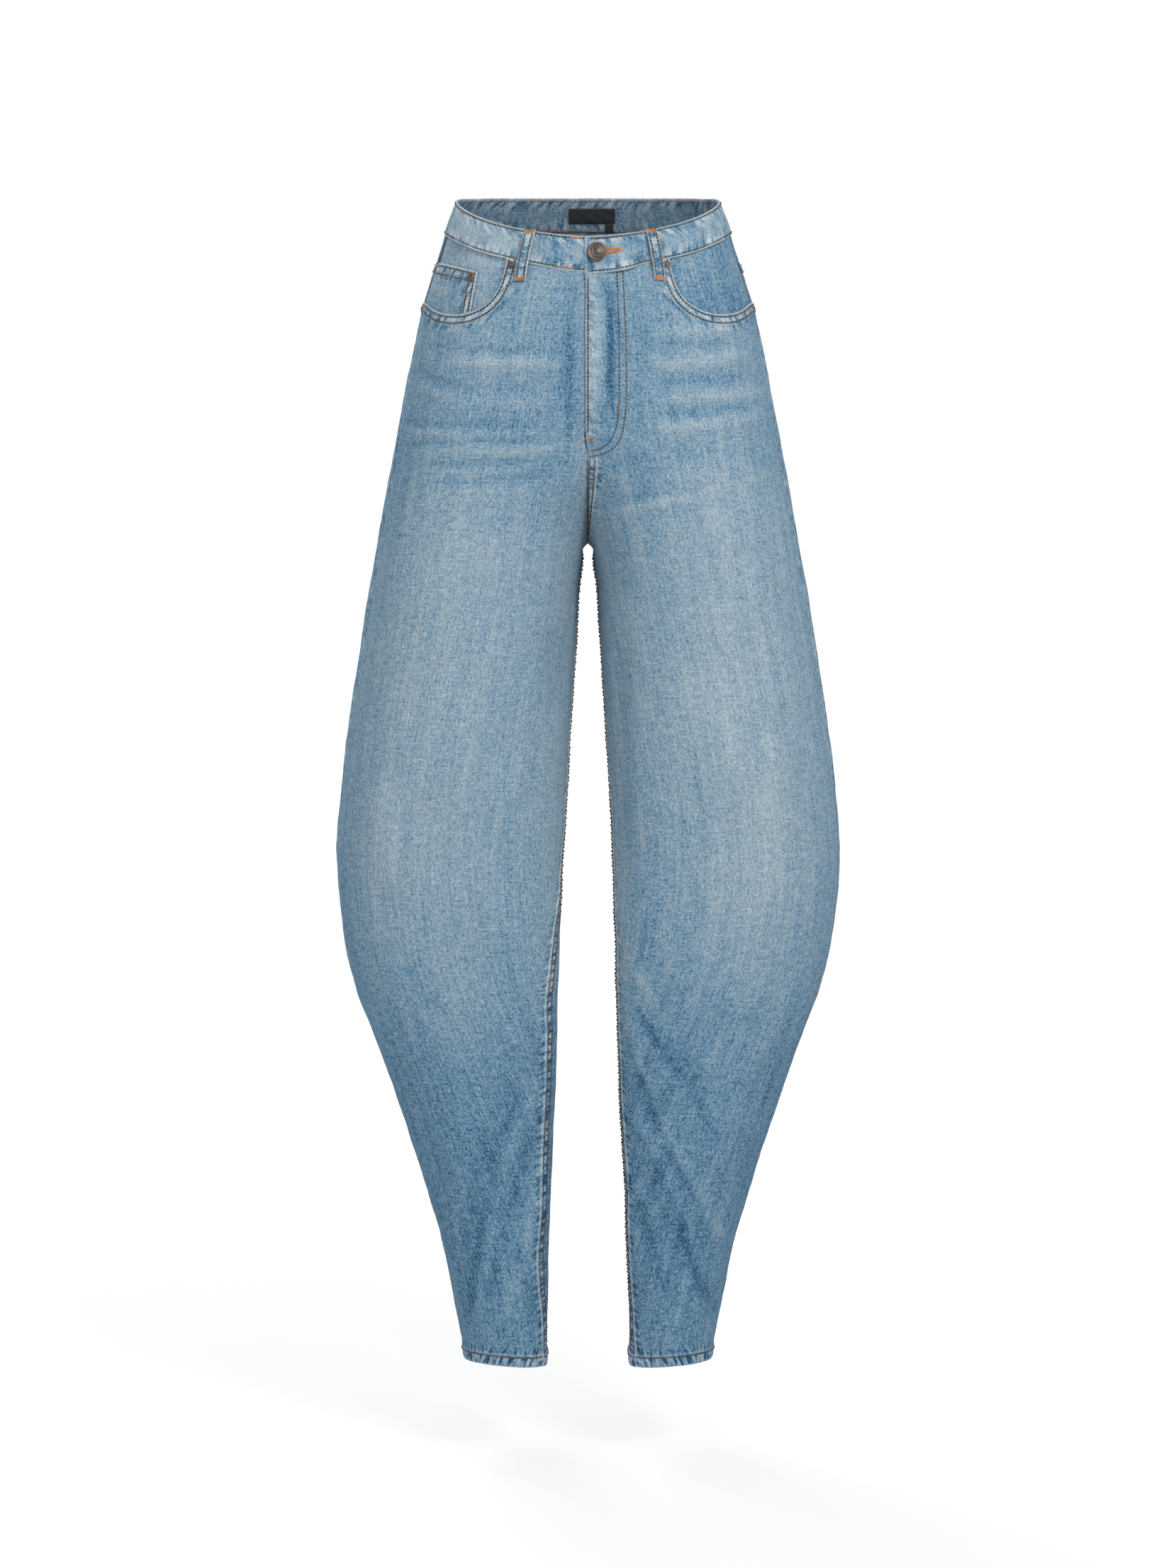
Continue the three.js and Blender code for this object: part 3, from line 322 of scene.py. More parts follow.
def chain(z):
    """One level section of the left half: points, running lengths, outseam length, cut open or not."""
    s = {name: float(curve(z)) for name, curve in section.items()}
    middle, half = (s["outer"] + s["inner"]) / 2, (s["outer"] - s["inner"]) / 2
    cut = math.acos(max(0.0, middle / half) ** (s["ni"] / 2)) if s["inner"] < 0 else 0.0
    right = math.pi / 2

    def quarter(start, end, n, sign, deep, level):
        a = np.linspace(start, end, QUARTER + 1)
        c = np.maximum(0, np.cos(a)) ** (2 / n)
        d = np.maximum(0, np.sin(a)) ** (2 / n)
        return np.stack([middle + sign * half * c, s[level] + (s[deep] - s[level]) * d], 1)

    parts = [
        quarter(cut, right, s["ni"], -1, "front", "narrow"),
        quarter(right, 0, s["nf"], 1, "front", "wide")[1:],
        quarter(0, right, s["nb"], 1, "back", "wide")[1:],
        quarter(right, cut, s["ni"], -1, "back", "narrow")[1:],
    ]
    points = np.concatenate(parts)
    points[:, 0] = keep_apart(points[:, 0], z)
    lengths = running_length(points)
    k = QUARTER
    while points[k + 1][1] < s["seam"]:
        k += 1
    share = (s["seam"] - points[k][1]) / (points[k + 1][1] - points[k][1])
    seam = lengths[k] + share * (lengths[k + 1] - lengths[k])
    return points, lengths, seam, s["inner"] < 0


# The shell of the left half on a grid: a is the arc length from the outseam, below zero on the front.
LEVELS = np.concatenate([
    np.arange(16, -296, -2.0), np.arange(-296, -313.8, -0.6), np.arange(-314.001, -330, -0.5),
    np.arange(-330, -1090, -3.0),
])
A_STEP = 1.25
A_LOW = -350.0
A_LINE = np.arange(A_LOW, 376, A_STEP)
shell_x = np.zeros((len(LEVELS), len(A_LINE)))
shell_y = np.zeros_like(shell_x)
front_raw = np.zeros(len(LEVELS))
back_raw = np.zeros(len(LEVELS))
for row, level in enumerate(LEVELS):
    points, lengths, seam, is_open = chain(level)
    total = lengths[-1]
    s = seam + A_LINE
    sign = np.ones_like(s)
    if is_open:
        sign[(s < 0) | (s > total)] = -1
        s = np.abs(s)
        s = np.where(s > total, 2 * total - s, s)
    else:
        s = np.mod(s, total)
    shell_x[row] = np.interp(s, lengths, points[:, 0]) * sign
    shell_y[row] = np.interp(s, lengths, points[:, 1])
    front_raw[row], back_raw[row] = seam, total - seam

UP = -LEVELS


def inseam_turn(side, z):
    """How far the inseam turns to the front at a level."""
    return np.where(np.asarray(z) < CROTCH_Z, turn[side](z), 0)


def front_length(side, z):
    """Arc length of the front piece at a level, from the outseam to the centre front or inseam."""
    return np.interp(-np.asarray(z, float), UP, front_raw) - inseam_turn(side, z)


def back_length(side, z):
    """Arc length of the back piece at a level, from the outseam to the centre back or inseam."""
    return np.interp(-np.asarray(z, float), UP, back_raw) + inseam_turn(side, z)


def shell(a, z):
    """Points of the left half's bare shell."""
    a, z = np.broadcast_arrays(np.asarray(a, float), np.asarray(z, float))
    i = np.clip(np.searchsorted(UP, -z) - 1, 0, len(UP) - 2)
    v = np.clip((-z - UP[i]) / (UP[i + 1] - UP[i]), 0, 1)
    fa = (a - A_LOW) / A_STEP
    j = np.clip(fa.astype(int), 0, len(A_LINE) - 2)
    u = fa - j
    out = []
    for grid in (shell_x, shell_y):
        top = grid[i, j] * (1 - u) + grid[i, j + 1] * u
        low = grid[i + 1, j] * (1 - u) + grid[i + 1, j + 1] * u
        out.append(top * (1 - v) + low * v)
    return np.stack([out[0], out[1], z], -1)


def shell_normal(a, z):
    along = shell(a + 1.3, z) - shell(a - 1.3, z)
    up = shell(a, z + 1.3) - shell(a, z - 1.3)
    n = np.cross(along, up)
    return n / np.maximum(np.linalg.norm(n, axis=-1, keepdims=True), 1e-9)


def beside_line(x, z, ends):
    """Where points lie at a straight line: the share of its length, and the way beside it."""
    x0, z0, x1, z1 = ends
    dx, dz = x1 - x0, z1 - z0
    long = math.hypot(dx, dz)
    share = ((x - x0) * dx + (z - z0) * dz) / long**2
    return share, ((x - x0) * dz - (z - z0) * dx) / long


def crease_height(p, n, rows):
    """How far the creases of a table lift the cloth."""
    height = np.zeros(p.shape[:-1])
    for face, *ends, bow, wide, high in rows:
        turned = ease(face * n[..., 1] * 1.8)
        u, off = beside_line(p[..., 0], p[..., 2], ends)
        off = off - bow * np.sin(np.pi * u)
        fading = ease(np.minimum(u, 1 - u) * 3.4 + 0.25)
        height += turned * high * fading * ridge(off, 0, wide)
    return height


def fly_height(side, p):
    """The left front is raised where it laps over the right one."""
    if side != "left":
        return 0.0
    down = ease((p[..., 2] - FLY_FOOT_Z + 20) / 22)
    return np.where(p[..., 1] > 0, 0, FLY_RAISE * down * (1 - ease((p[..., 0] - FLY_UNDER - 2) / 20)))


def ripple(*waves):
    """A sum of sine waves, each with its own size, so that a run looks uneven but is always the same."""

    def at(x):
        return sum(size * np.sin(rate * x + start) for size, rate, start in waves)

    return at


uneven = ripple((0.5, 0.31, 0.4), (0.35, 0.53, 2.1), (0.3, 0.83, 4.0), (0.2, 1.27, 1.1))
slow = ripple((0.6, 0.021, 0.3), (0.4, 0.047, 1.9), (0.3, 0.083, 4.4))


def seam_rope(run):
    """Close puckers of a sewn seam, from about -1 to 1."""
    return np.sin(run * 1.05 + 1.1 * np.sin(run * 0.17) + 0.7 * np.sin(run * 0.41))


def bank(distance, low, high, soft=0.9):
    """1 between low and high, with soft shoulders."""
    return ease((distance - low) / soft + 0.5) * ease((high - distance) / soft + 0.5)


def hem_rope(a, up):
    """Slanted ridges of a turned hem, from -1 to 1."""
    return np.sin(up * 0.42 + a * 1.3 + 1.3 * np.sin(a * 0.11) + 0.6 * np.sin(a * 0.37))


def inside_of(side, a, z):
    """The way from the centre or inseam edge, along the cloth."""
    return np.where(a < 0, a + front_length(side, z), back_length(side, z) - a)


def seam_zones(a, z):
    """Which points are on a leg, and which ones beside the rise or the seat seam."""
    leg = z < CROTCH_Z
    return leg, ~leg & np.where(a < 0, z < RISE_TOP, z < SEAT_TOP)


def seam_height(side, a, z):
    """Lapped seams, pressed seams, puckers and the turned hem."""
    inside = inside_of(side, a, z)
    leg, middle = seam_zones(a, z)
    # inseam lapped to the front, with puckers between its two rows
    lapped = np.where((a < 0) & leg, bank(inside, -1, 8.6), 0) * 0.85
    pucker = np.where(leg, ridge(inside, 5, 6), 0) * 0.42 * seam_rope(z)
    # rise and seat seams lapped to the left side
    lap_side = 1.0 if side == "left" else 0.0
    lapped = lapped + np.where(middle, bank(inside, -1, 8.2), 0) * 0.7 * lap_side
    pucker = pucker + np.where(middle, ridge(inside, 4, 6), 0) * 0.4 * seam_rope(z + 40)
    # outseam pressed open: a fine groove with a soft bank on each side
    down = np.where(z > MOUTH_END_Z, 0.25, 1.0)
    groove = -0.7 * ridge(a, 0, 1.0) + 0.4 * ridge(np.abs(a), 5, 3.4)
    roping = 0.22 * ridge(a, 0, 9) * uneven(z * 0.6 + 1.3 * np.sign(a))
    # hem
    up = z - hem_z(side, a)
    turned = ease((HEM_HEIGHT - up) / 0.9 + 0.5)
    hem = turned * (0.75 + 0.42 * hem_rope(a, up) * ease((HEM_HEIGHT - up) / 3) * ease(up / 2.2 + 0.35))
    above = ridge(up, HEM_HEIGHT + 2.5, 3.5) * 0.26 * np.sin(a * 0.9 + np.sin(a * 0.21))
    return lapped + pucker + (groove + roping) * down + hem + above


def swell(p):
    """Large, faint unevenness of washed cloth."""
    x, y, z = p[..., 0], p[..., 1], p[..., 2]
    return (
        0.5 * np.sin(x * 0.047 + z * 0.031 + 0.6) * np.sin(z * 0.023 - y * 0.04 + 1.2)
        + 0.32 * np.sin(x * 0.083 - z * 0.057 + 2.0) * np.sin(z * 0.049 + y * 0.05)
        + 0.16 * np.sin(x * 0.19 + z * 0.11) * np.sin(z * 0.13 - x * 0.06 + 0.8)
    )


def mirror(side, p):
    if side == "left":
        return p
    return p * np.array([-1.0, 1.0, 1.0])


def bare(side, a, z):
    """Points and normals of the bare shell on one side."""
    return mirror(side, shell(a, z)), mirror(side, shell_normal(a, z))


def cloth(side, a, z, out=0.0, extra=0.0):
    """Points and normals of the cloth at arc length a and height z, out millimetres off the shell."""
    a, z = np.broadcast_arrays(np.asarray(a, float), np.asarray(z, float))
    p, n = bare(side, a, z)
    height = crease_height(p, n, SOLID_CREASES) + fly_height(side, p)
    height = height + crease_height(p, n, FINE_CREASES) + seam_height(side, a, z) + swell(p)
    return p + n * (height + out + extra)[..., None], n


def fold_wear_and_shade(side, a, z):
    """Ridges of the creases are rubbed lighter and their hollows stay darker. On top of that, a painted
    highlight lies on the ridges and painted shade lies in the hollows.
    """
    p, n = bare(side, a, z)
    folds = 0.075 * crease_height(p, n, SOLID_CREASES) + 0.27 * crease_height(p, n, FINE_CREASES)
    return np.clip(folds, -0.5, 0.5)


def rub(x, sharp=1.6):
    """Uneven light and dark patches along a seam, from -1 to 1."""
    return np.clip(uneven(x) * sharp, -1, 1)


def seam_roping_and_shadow(side, a, z):
    """The side under a lapped seam: roping along it, and a painted shadow of the lap's edge right at the
    seam.
    """
    inside = inside_of(side, a, z)
    leg, middle = seam_zones(a, z)
    under = np.where(leg & (a > 0), 1.0, np.where(middle & (side == "right"), 1.0, 0.0))
    rope = seam_rope(np.where(leg, z, z + 40))
    # roping of the seam, less a painted shadow where the lap's edge stands over this side
    return under * (0.14 * ridge(inside, 0, 9) * rope - 0.22 * ridge(inside, 0, 3.5))


def seam_places(side, flat, mouth=None):
    """Where each point lies at the seams: the way from the seam, the run along it and its share."""
    a, z = flat[:, 0], flat[:, 1]
    leg, middle = seam_zones(a, z)
    lapped = np.where(leg & (a < 0), 1.0, np.where(middle & (side == "left"), 1.0, 0.0))
    places = {
        "seam_lap": (inside_of(side, a, z), z, lapped),
        "seam_open": (np.abs(a), z + 40 * np.sign(a), np.where(z > MOUTH_END_Z, 0.35, 1.0)),
        "seam_hem": (z - hem_z(side, a), a, np.ones(len(a))),
    }
    if mouth is not None:
        places["seam_mouth"] = (mouth, a * 0.8 + z * 0.7, np.ones(len(a)))
    return {key: np.stack(np.broadcast_arrays(*value), 1) for key, value in places.items()}


# Colours, in linear light
DARK_CLOTH = (0.100, 0.222, 0.342)
LIGHT_CLOTH = (0.292, 0.382, 0.446)
# The tone at each level of lightness. The first two are the ends of the colour ramp: the deepest one, darker
# than the dark cloth, is reached by painted shade beside raised seams and in the hollows of folds, and the
# palest one by worn edges.
TONE_LOW = -0.8
TONE_HIGH = 2.2
TONE_STOPS = [
    (TONE_LOW, (0.026, 0.070, 0.135)), (TONE_HIGH, (0.500, 0.580, 0.620)), (0, DARK_CLOTH), (1, LIGHT_CLOTH),
]
BROWN_THREAD = (0.085, 0.052, 0.034)
ORANGE_THREAD = (0.50, 0.185, 0.03)

wear_level = {-1: smooth(WEAR_LEVELS, 1), 1: smooth(WEAR_LEVELS, 2)}
fade_and_shade_across = {name: smooth(FADE_AND_SHADE_ACROSS, k + 1) for k, name in enumerate(("right", "left", "back"))}
fade_and_shade_across_part = smooth(FADE_AND_SHADE_ACROSS_PART, 1)


def wear_and_shade_of(p, n, extra=0.0):
    """How light the cloth is painted at each point: its wash, with painted highlight and painted shade from
    the spots and from the legs' edges. 0 is dark blue and 1 is the lightest.
    """
    x, z = p[..., 0], p[..., 2]
    rear = ease(0.5 + n[..., 1] * 1.2)
    lightness = wear_level[-1](z) * (1 - rear) + wear_level[1](z) * rear + extra
    outer = section["outer"](z)
    inner = np.maximum(section["inner"](z), 0)
    across = (np.abs(x) * 2 - outer - inner) / (outer - inner)
    # across the leg: wash, with painted light at the fronts' inner edges and painted shade at the edges
    # turned away from the light
    side_part = np.where(x > 0, fade_and_shade_across["left"](across), fade_and_shade_across["right"](across))
    side_part = side_part * (1 - rear) + fade_and_shade_across["back"](across) * rear
    lightness = lightness + side_part * fade_and_shade_across_part(z)
    # spots of wash, and the painted highlight and painted shade at the fly
    for face, mx, mz, rx, rz, amount in FADE_AND_SHADE_SPOTS:
        turned = ease(face * n[..., 1] * 1.5 + 0.12)
        lightness += turned * amount * ridge(x, mx, rx) * ridge(z, mz, rz)
    for face, *ends, wide, amount in WHISKERS:
        turned = ease(face * n[..., 1] * 1.5)
        u, off = beside_line(x, z, ends)
        off = off + 1.6 * np.sin(u * 7 + ends[0]) + 0.8 * np.sin(u * 17 + ends[1])
        fading = ease(np.minimum(u, 1 - u) * 4 + 0.6)
        light = ridge(off, 0, wide)
        dark = ridge(np.abs(off), wide * 1.7, wide * 0.7)
        lightness += turned * amount * fading * (light - 0.42 * dark)
    return lightness


# Materials


def new_material(name):
    material = bpy.data.materials.new(name)
    material.use_nodes = True
    tree = material.node_tree
    tree.nodes.clear()
    output = tree.nodes.new("ShaderNodeOutputMaterial")
    shader = tree.nodes.new("ShaderNodeBsdfPrincipled")
    tree.links.new(shader.outputs[0], output.inputs[0])
    return material, tree, shader


def make(tree, kind, inputs=None, **settings):
    node = tree.nodes.new(kind)
    for key, value in settings.items():
        setattr(node, key, value)
    for key, value in (inputs or {}).items():
        if isinstance(value, bpy.types.NodeSocket):
            tree.links.new(value, node.inputs[key])
        else:
            node.inputs[key].default_value = value
    return node


def maths(tree, operation, a, b=0.0, clamp=False):
    node = make(tree, "ShaderNodeMath", {0: a, 1: b}, operation=operation)
    node.use_clamp = clamp
    return node.outputs[0]


def add(tree, a, b):
    return maths(tree, "ADD", a, b)


def times(tree, a, b):
    return maths(tree, "MULTIPLY", a, b)


def around_middle(tree, value, size):
    """A value from 0 to 1, moved to lie around zero and made larger or smaller."""
    return times(tree, maths(tree, "SUBTRACT", value, 0.5), size)


def attribute(tree, name, output="Vector"):
    return make(tree, "ShaderNodeAttribute", attribute_name=name).outputs[output]


def object_place(tree):
    return make(tree, "ShaderNodeTexCoord").outputs["Object"]


def stretched_noise(tree, place, scale, size, detail=2.0):
    mapped = make(tree, "ShaderNodeMapping", {"Vector": place, "Scale": scale})
    inputs = {"Vector": mapped.outputs[0], "Scale": size, "Detail": detail}
    return make(tree, "ShaderNodeTexNoise", inputs).outputs[0]


def waves(tree, place, size, distortion, direction, **more):
    inputs = {"Vector": place, "Scale": size, "Distortion": distortion, **more}
    wave = make(tree, "ShaderNodeTexWave", inputs, wave_type="BANDS", bands_direction=direction)
    return wave.outputs["Fac"]


def ramp_stops(ramp, rows):
    """Sets the stops of a colour ramp, which has two at first, from places and colours."""
    stops = ramp.color_ramp.elements
    for k, (place, tone) in enumerate(rows):
        stop = stops[k] if k < 2 else stops.new(place)
        stop.position = place
        stop.color = tone


def two_tones(tree, shader, part, dark, light):
    """The surface's colour goes from dark to light with part."""
    mix = make(tree, "ShaderNodeMix", {0: part, "A": dark, "B": light}, data_type="RGBA")
    tree.links.new(mix.outputs["Result"], shader.inputs["Base Color"])


def relief(tree, shader, height, strength, distance):
    """Fine relief of the surface."""
    bump = make(tree, "ShaderNodeBump", {"Height": height, "Strength": strength, "Distance": distance})
    tree.links.new(bump.outputs[0], shader.inputs["Normal"])


# How a seam changes the cloth's tone: the way from its edge in mm, lighter or darker, and share of blotches.
# The pale edges are worn and also carry a painted highlight where they stand raised. The dark dips at the
# stitch rows, in the outseam's groove and beside the raised folds and the hem are painted shade.
LAP_ROWS = [
    (0, 0.90, 0), (1.0, 0.80, 0), (1.6, 0.10, 0.2), (2.1, -0.60, 0), (2.8, -0.30, 0.7), (3.6, -0.20, 1),
    (5.9, -0.20, 1), (6.7, -0.30, 0.7), (7.4, -0.60, 0), (8.2, 0.70, 0.3), (9.8, 0.60, 0.5),
    (11.2, -0.30, 0.5), (13.5, -0.10, 0.5), (18, 0, 0),
]
MOUTH_ROWS = [
    (0, 0.85, 0), (1.0, 0.75, 0), (1.7, 0.10, 0.2), (2.4, -0.65, 0), (3.2, 0, 0.5), (4.2, 0.14, 0.9),
    (6.4, 0.14, 0.9), (7.2, -0.10, 0.4), (8.0, -0.65, 0), (8.9, 0.10, 0.3), (9.8, 0.0, 0.4),
    (11.2, -0.32, 0.5), (14, -0.08, 0.5), (19, 0, 0),
]
EDGE_ROWS = [
    (0, 0.65, 0), (0.9, 0.50, 0.2), (1.6, 0.05, 0.3), (2.4, -0.60, 0), (3.4, -0.05, 0.6), (5, 0.04, 0.8),
    (8, 0, 0.5), (12, 0, 0.2), (18, 0, 0),
]
OPEN_ROWS = [
    (0, -0.55, 0), (1.2, -0.35, 0.1), (2.4, -0.04, 0.3), (4.5, 0.12, 0.45), (7.5, 0.06, 0.45),
    (10, -0.08, 0.3), (14, -0.03, 0.15), (18, 0, 0),
]
HEM_ROWS = [
    (0, 0.55, 0.2), (0.9, 0.40, 0.6), (2, 0, 1), (8, 0, 1), (9.2, -0.60, 0.2), (10.2, 0.05, 0.2),
    (10.9, 0.50, 0.4), (12, 0.10, 0.5), (13.5, -0.24, 0.7), (17, -0.06, 0.4), (20, 0, 0),
]
# Attribute, rows, period of the blotches in mm, slant across the seam
SEAM_LOOKS = [
    ("seam_lap", LAP_ROWS, 3.6, 0.08), ("seam_mouth", MOUTH_ROWS, 4.2, 0.08),
    ("seam_edge", EDGE_ROWS, 5.0, 0.10), ("seam_open", OPEN_ROWS, 6.0, 0.08),
    ("seam_hem", HEM_ROWS, 3.4, 0.16),
]


def seam_look(tree, name, rows, period, slant):
    """What a seam adds to the tone of the cloth beside it: worn pale edges and blotches, a painted highlight
    on raised edges, and painted shade at its rows and beside its folds.
    """
    parts = make(tree, "ShaderNodeSeparateXYZ", {"Vector": attribute(tree, name)}).outputs
    level = make(tree, "ShaderNodeValToRGB", {0: times(tree, parts[0], 1 / SEAM_REACH)})
    ramp_stops(level, [(way / SEAM_REACH, (0.5 + light / 2, blotch, 0, 1)) for way, light, blotch in rows])
    values = make(tree, "ShaderNodeSeparateColor", {0: level.outputs["Color"]}).outputs
    along = add(tree, times(tree, parts[1], 1 / period), times(tree, parts[0], slant))
    spot = make(tree, "ShaderNodeCombineXYZ", {0: along, 1: times(tree, parts[0], 0.06)}).outputs[0]
    mottled = around_middle(tree, stretched_noise(tree, spot, (1, 1, 1), 1.0, 1.0), 9.0)
    mottled = maths(tree, "MINIMUM", maths(tree, "MAXIMUM", mottled, -1.1), 1.3)
    both = add(tree, around_middle(tree, values[0], 2.0), times(tree, mottled, values[1]))
    return times(tree, both, parts[2])


def denim_material(name):
    """Twill with slubs. It is dark where the attribute lightness is low and light where it is high;
    lightness holds the wash together with painted shade and painted highlight.
    """
    material, tree, shader = new_material(name)
    place = attribute(tree, "cloth")
    speck = stretched_noise(tree, place, (1, 1, 1), 540.0, 2.0)
    grain = stretched_noise(tree, place, (1, 0.35, 1), 520.0, 2.0)
    slub = stretched_noise(tree, place, (1, 0.05, 1), 330.0, 3.0)
    cross = stretched_noise(tree, place, (0.12, 1.0, 1), 520.0, 2.0)
    mottle = stretched_noise(tree, place, (1, 0.75, 1), 130.0, 1.0)
    streak = stretched_noise(tree, place, (1, 0.07, 1), 80.0, 2.0)
    turned = make(tree, "ShaderNodeMapping", {"Vector": place, "Rotation": (0.0, 0.0, math.radians(-33))})
    twill = waves(tree, turned.outputs[0], 200.0, 1.5, "X", Detail=2.0)
    shares = (
        (speck, 2.9), (grain, 1.8), (slub, 1.1), (cross, 1.0), (mottle, 0.6), (streak, 0.65), (twill, 0.4),
    )
    total = attribute(tree, "lightness", "Fac")
    for look in SEAM_LOOKS:
        total = add(tree, total, seam_look(tree, *look))
    for source, share in shares:
        total = add(tree, total, around_middle(tree, source, share))
    part = make(tree, "ShaderNodeMapRange", {"Value": total, "From Min": TONE_LOW, "From Max": TONE_HIGH})
    tone_ramp = make(tree, "ShaderNodeValToRGB", {0: part.outputs[0]})
    span = TONE_HIGH - TONE_LOW
    ramp_stops(tone_ramp, [((level - TONE_LOW) / span, (*tone, 1)) for level, tone in TONE_STOPS])
    backside = make(tree, "ShaderNodeNewGeometry").outputs["Backfacing"]
    two_tones(tree, shader, times(tree, backside, 0.7), tone_ramp.outputs["Color"], (0.20, 0.27, 0.33, 1))
    shader.inputs["Roughness"].default_value = 0.95
    shader.inputs["Specular IOR Level"].default_value = 0.12
    height = times(tree, twill, 0.3)
    for source, share in ((grain, 0.6), (slub, 0.6), (mottle, 0.9)):
        height = add(tree, height, times(tree, source, share))
    relief(tree, shader, height, 0.6, 0.0006)
    return material


def thread_material(name, colour, spread):
    """Plied thread, a little darker and lighter from place to place."""
    material, tree, shader = new_material(name)
    place = object_place(tree)
    noise = stretched_noise(tree, place, (1, 1, 1), 90.0, 2.0)
    part = make(tree, "ShaderNodeMapRange", {"Value": noise, "From Min": 0.35, "From Max": 0.65})
    dark, light = ((*(c * size for c in colour), 1) for size in (1 - spread, 1 + spread))
    two_tones(tree, shader, part.outputs[0], dark, light)
    shader.inputs["Roughness"].default_value = 0.7
    shader.inputs["Sheen Weight"].default_value = 0.2
    ply = stretched_noise(tree, place, (1, 1, 1), 1400.0, 1.0)
    relief(tree, shader, ply, 0.5, 0.0002)
    return material


def metal_material(name):
    """Aged pewter brown metal, darker in its hollows."""
    material, tree, shader = new_material(name)
    noise = stretched_noise(tree, object_place(tree), (1, 1, 1), 420.0, 4.0)
    pointy = make(tree, "ShaderNodeNewGeometry").outputs["Pointiness"]
    edge = make(tree, "ShaderNodeMapRange", {"Value": pointy, "From Min": 0.46, "From Max": 0.56})
    total = add(tree, times(tree, noise, 0.6), times(tree, edge.outputs[0], 0.6))
    part = maths(tree, "SUBTRACT", total, 0.15, True)
    two_tones(tree, shader, part, (0.030, 0.024, 0.019, 1), (0.27, 0.225, 0.18, 1))
    shader.inputs["Metallic"].default_value = 0.9
    rough = make(tree, "ShaderNodeMapRange", {"Value": noise, "To Min": 0.3, "To Max": 0.55})
    tree.links.new(rough.outputs[0], shader.inputs["Roughness"])
    relief(tree, shader, noise, 0.25, 0.0002)
    return material


def patch_material(name):
    """Black woven tape with a fine rib."""
    material, tree, shader = new_material(name)
    place = object_place(tree)
    rib = waves(tree, place, 520.0, 0.6, "Z")
    noise = stretched_noise(tree, place, (1, 1, 1), 300.0, 3.0)
    total = add(tree, times(tree, rib, 0.4), times(tree, noise, 0.6))
    two_tones(tree, shader, total, (0.010, 0.010, 0.012, 1), (0.032, 0.032, 0.036, 1))
    shader.inputs["Roughness"].default_value = 0.75
    shader.inputs["Sheen Weight"].default_value = 0.15
    relief(tree, shader, total, 0.4, 0.0003)
    return material


DENIM = denim_material("denim")
BROWN = thread_material("brown_thread", BROWN_THREAD, 0.6)
ORANGE = thread_material("orange_thread", ORANGE_THREAD, 0.2)
METAL = metal_material("aged_metal")
PATCH = patch_material("black_woven")


def new_object(name, points, faces, material, lightness=None, flat=None, outward=None, seams=None):
    """A mesh from points in millimetres that rides on the one body.

    flat is its place in the cut cloth, and outward the direction that its faces should look in.
    """
    points = np.asarray(points)
    faces = faces if isinstance(faces, list) else faces.tolist()
    if outward is not None:
        first = np.array([face[:3] for face in faces])
        one, two, three = (points[first[:, k]] for k in range(3))
        if (np.cross(two - one, three - one) * outward[first[:, 0]]).sum() < 0:
            faces = [face[::-1] for face in faces]
    mesh = bpy.data.meshes.new(name)
    mesh.from_pydata((points * MM).tolist(), [], faces)
    mesh.update()
    # lightness: each point's wash, with painted shade and painted highlight added in
    if lightness is not None:
        layer = mesh.attributes.new("lightness", "FLOAT", "POINT")
        layer.data.foreach_set("value", np.asarray(lightness, np.float32))
    if flat is not None:
        layer = mesh.attributes.new("cloth", "FLOAT_VECTOR", "POINT")
        spots = np.zeros((len(points), 3), np.float32)
        spots[:, :2] = np.asarray(flat) * MM
        spots[:, 2] = sum(map(ord, name)) * 0.01
        layer.data.foreach_set("vector", spots.ravel())
    for key, values in (seams or {}).items():
        layer = mesh.attributes.new(key, "FLOAT_VECTOR", "POINT")
        layer.data.foreach_set("vector", np.asarray(values, np.float32).ravel())
    mesh.polygons.foreach_set("use_smooth", [True] * len(mesh.polygons))
    mesh.materials.append(material)
    item = bpy.data.objects.new(name, mesh)
    bpy.context.scene.collection.objects.link(item)
    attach(item, "root")
    return item


def ring_faces(rings, count):
    """The quads between rings that have count points each."""
    faces = []
    for i in range(rings - 1):
        for j in range(count):
            k = (j + 1) % count
            faces.append([i * count + j, i * count + k, (i + 1) * count + k, (i + 1) * count + j])
    return faces


# Outlines in arc length and height


def a_at(side, x, z, back=False):
    """The arc length at which the shell reaches a given X at a level."""
    if back:
        line = np.linspace(0, float(back_length(side, z)), 500)
    else:
        line = -np.linspace(0, float(front_length(side, z)), 500)
    xs = shell(line, np.full(500, float(z)))[:, 0]
    best = int(np.argmax(xs))
    return float(np.interp(abs(x), xs[best:][::-1], line[best:][::-1]))


def resample(line, step):
    """Points at an even step along a chain of points, ends kept."""
    line = np.asarray(line, float)
    lengths = running_length(line)
    count = max(1, int(round(lengths[-1] / step)))
    at = np.linspace(0, lengths[-1], count + 1)
    return np.stack([np.interp(at, lengths, line[:, 0]), np.interp(at, lengths, line[:, 1])], 1)


def curve_through(rows, count=60):
    """A smooth curve through a few points."""
    rows = np.asarray(rows, float)
    t = np.arange(len(rows), dtype=float)
    table_x = smooth(list(zip(t, rows[:, 0])), 1)
    table_z = smooth(list(zip(t, rows[:, 1])), 1)
    at = np.linspace(0, len(rows) - 1, count)
    return np.stack([table_x(at), table_z(at)], 1)


def to_arc(side, line, back=False):
    """A line in X and Z turned into arc length and height."""
    return np.array([(a_at(side, x, z, back), z) for x, z in line])


def front_station(side, a, z):
    """The waist station of a place on the front."""
    return 1 + a / float(front_length(side, z))


def lap_part(side, x):
    """How far the left front's end is raised over the right one, from 0 to 1."""
    x = np.asarray(x, float)
    return 1 - ease((x - 34) / 14) if side == "left" else np.zeros_like(x)


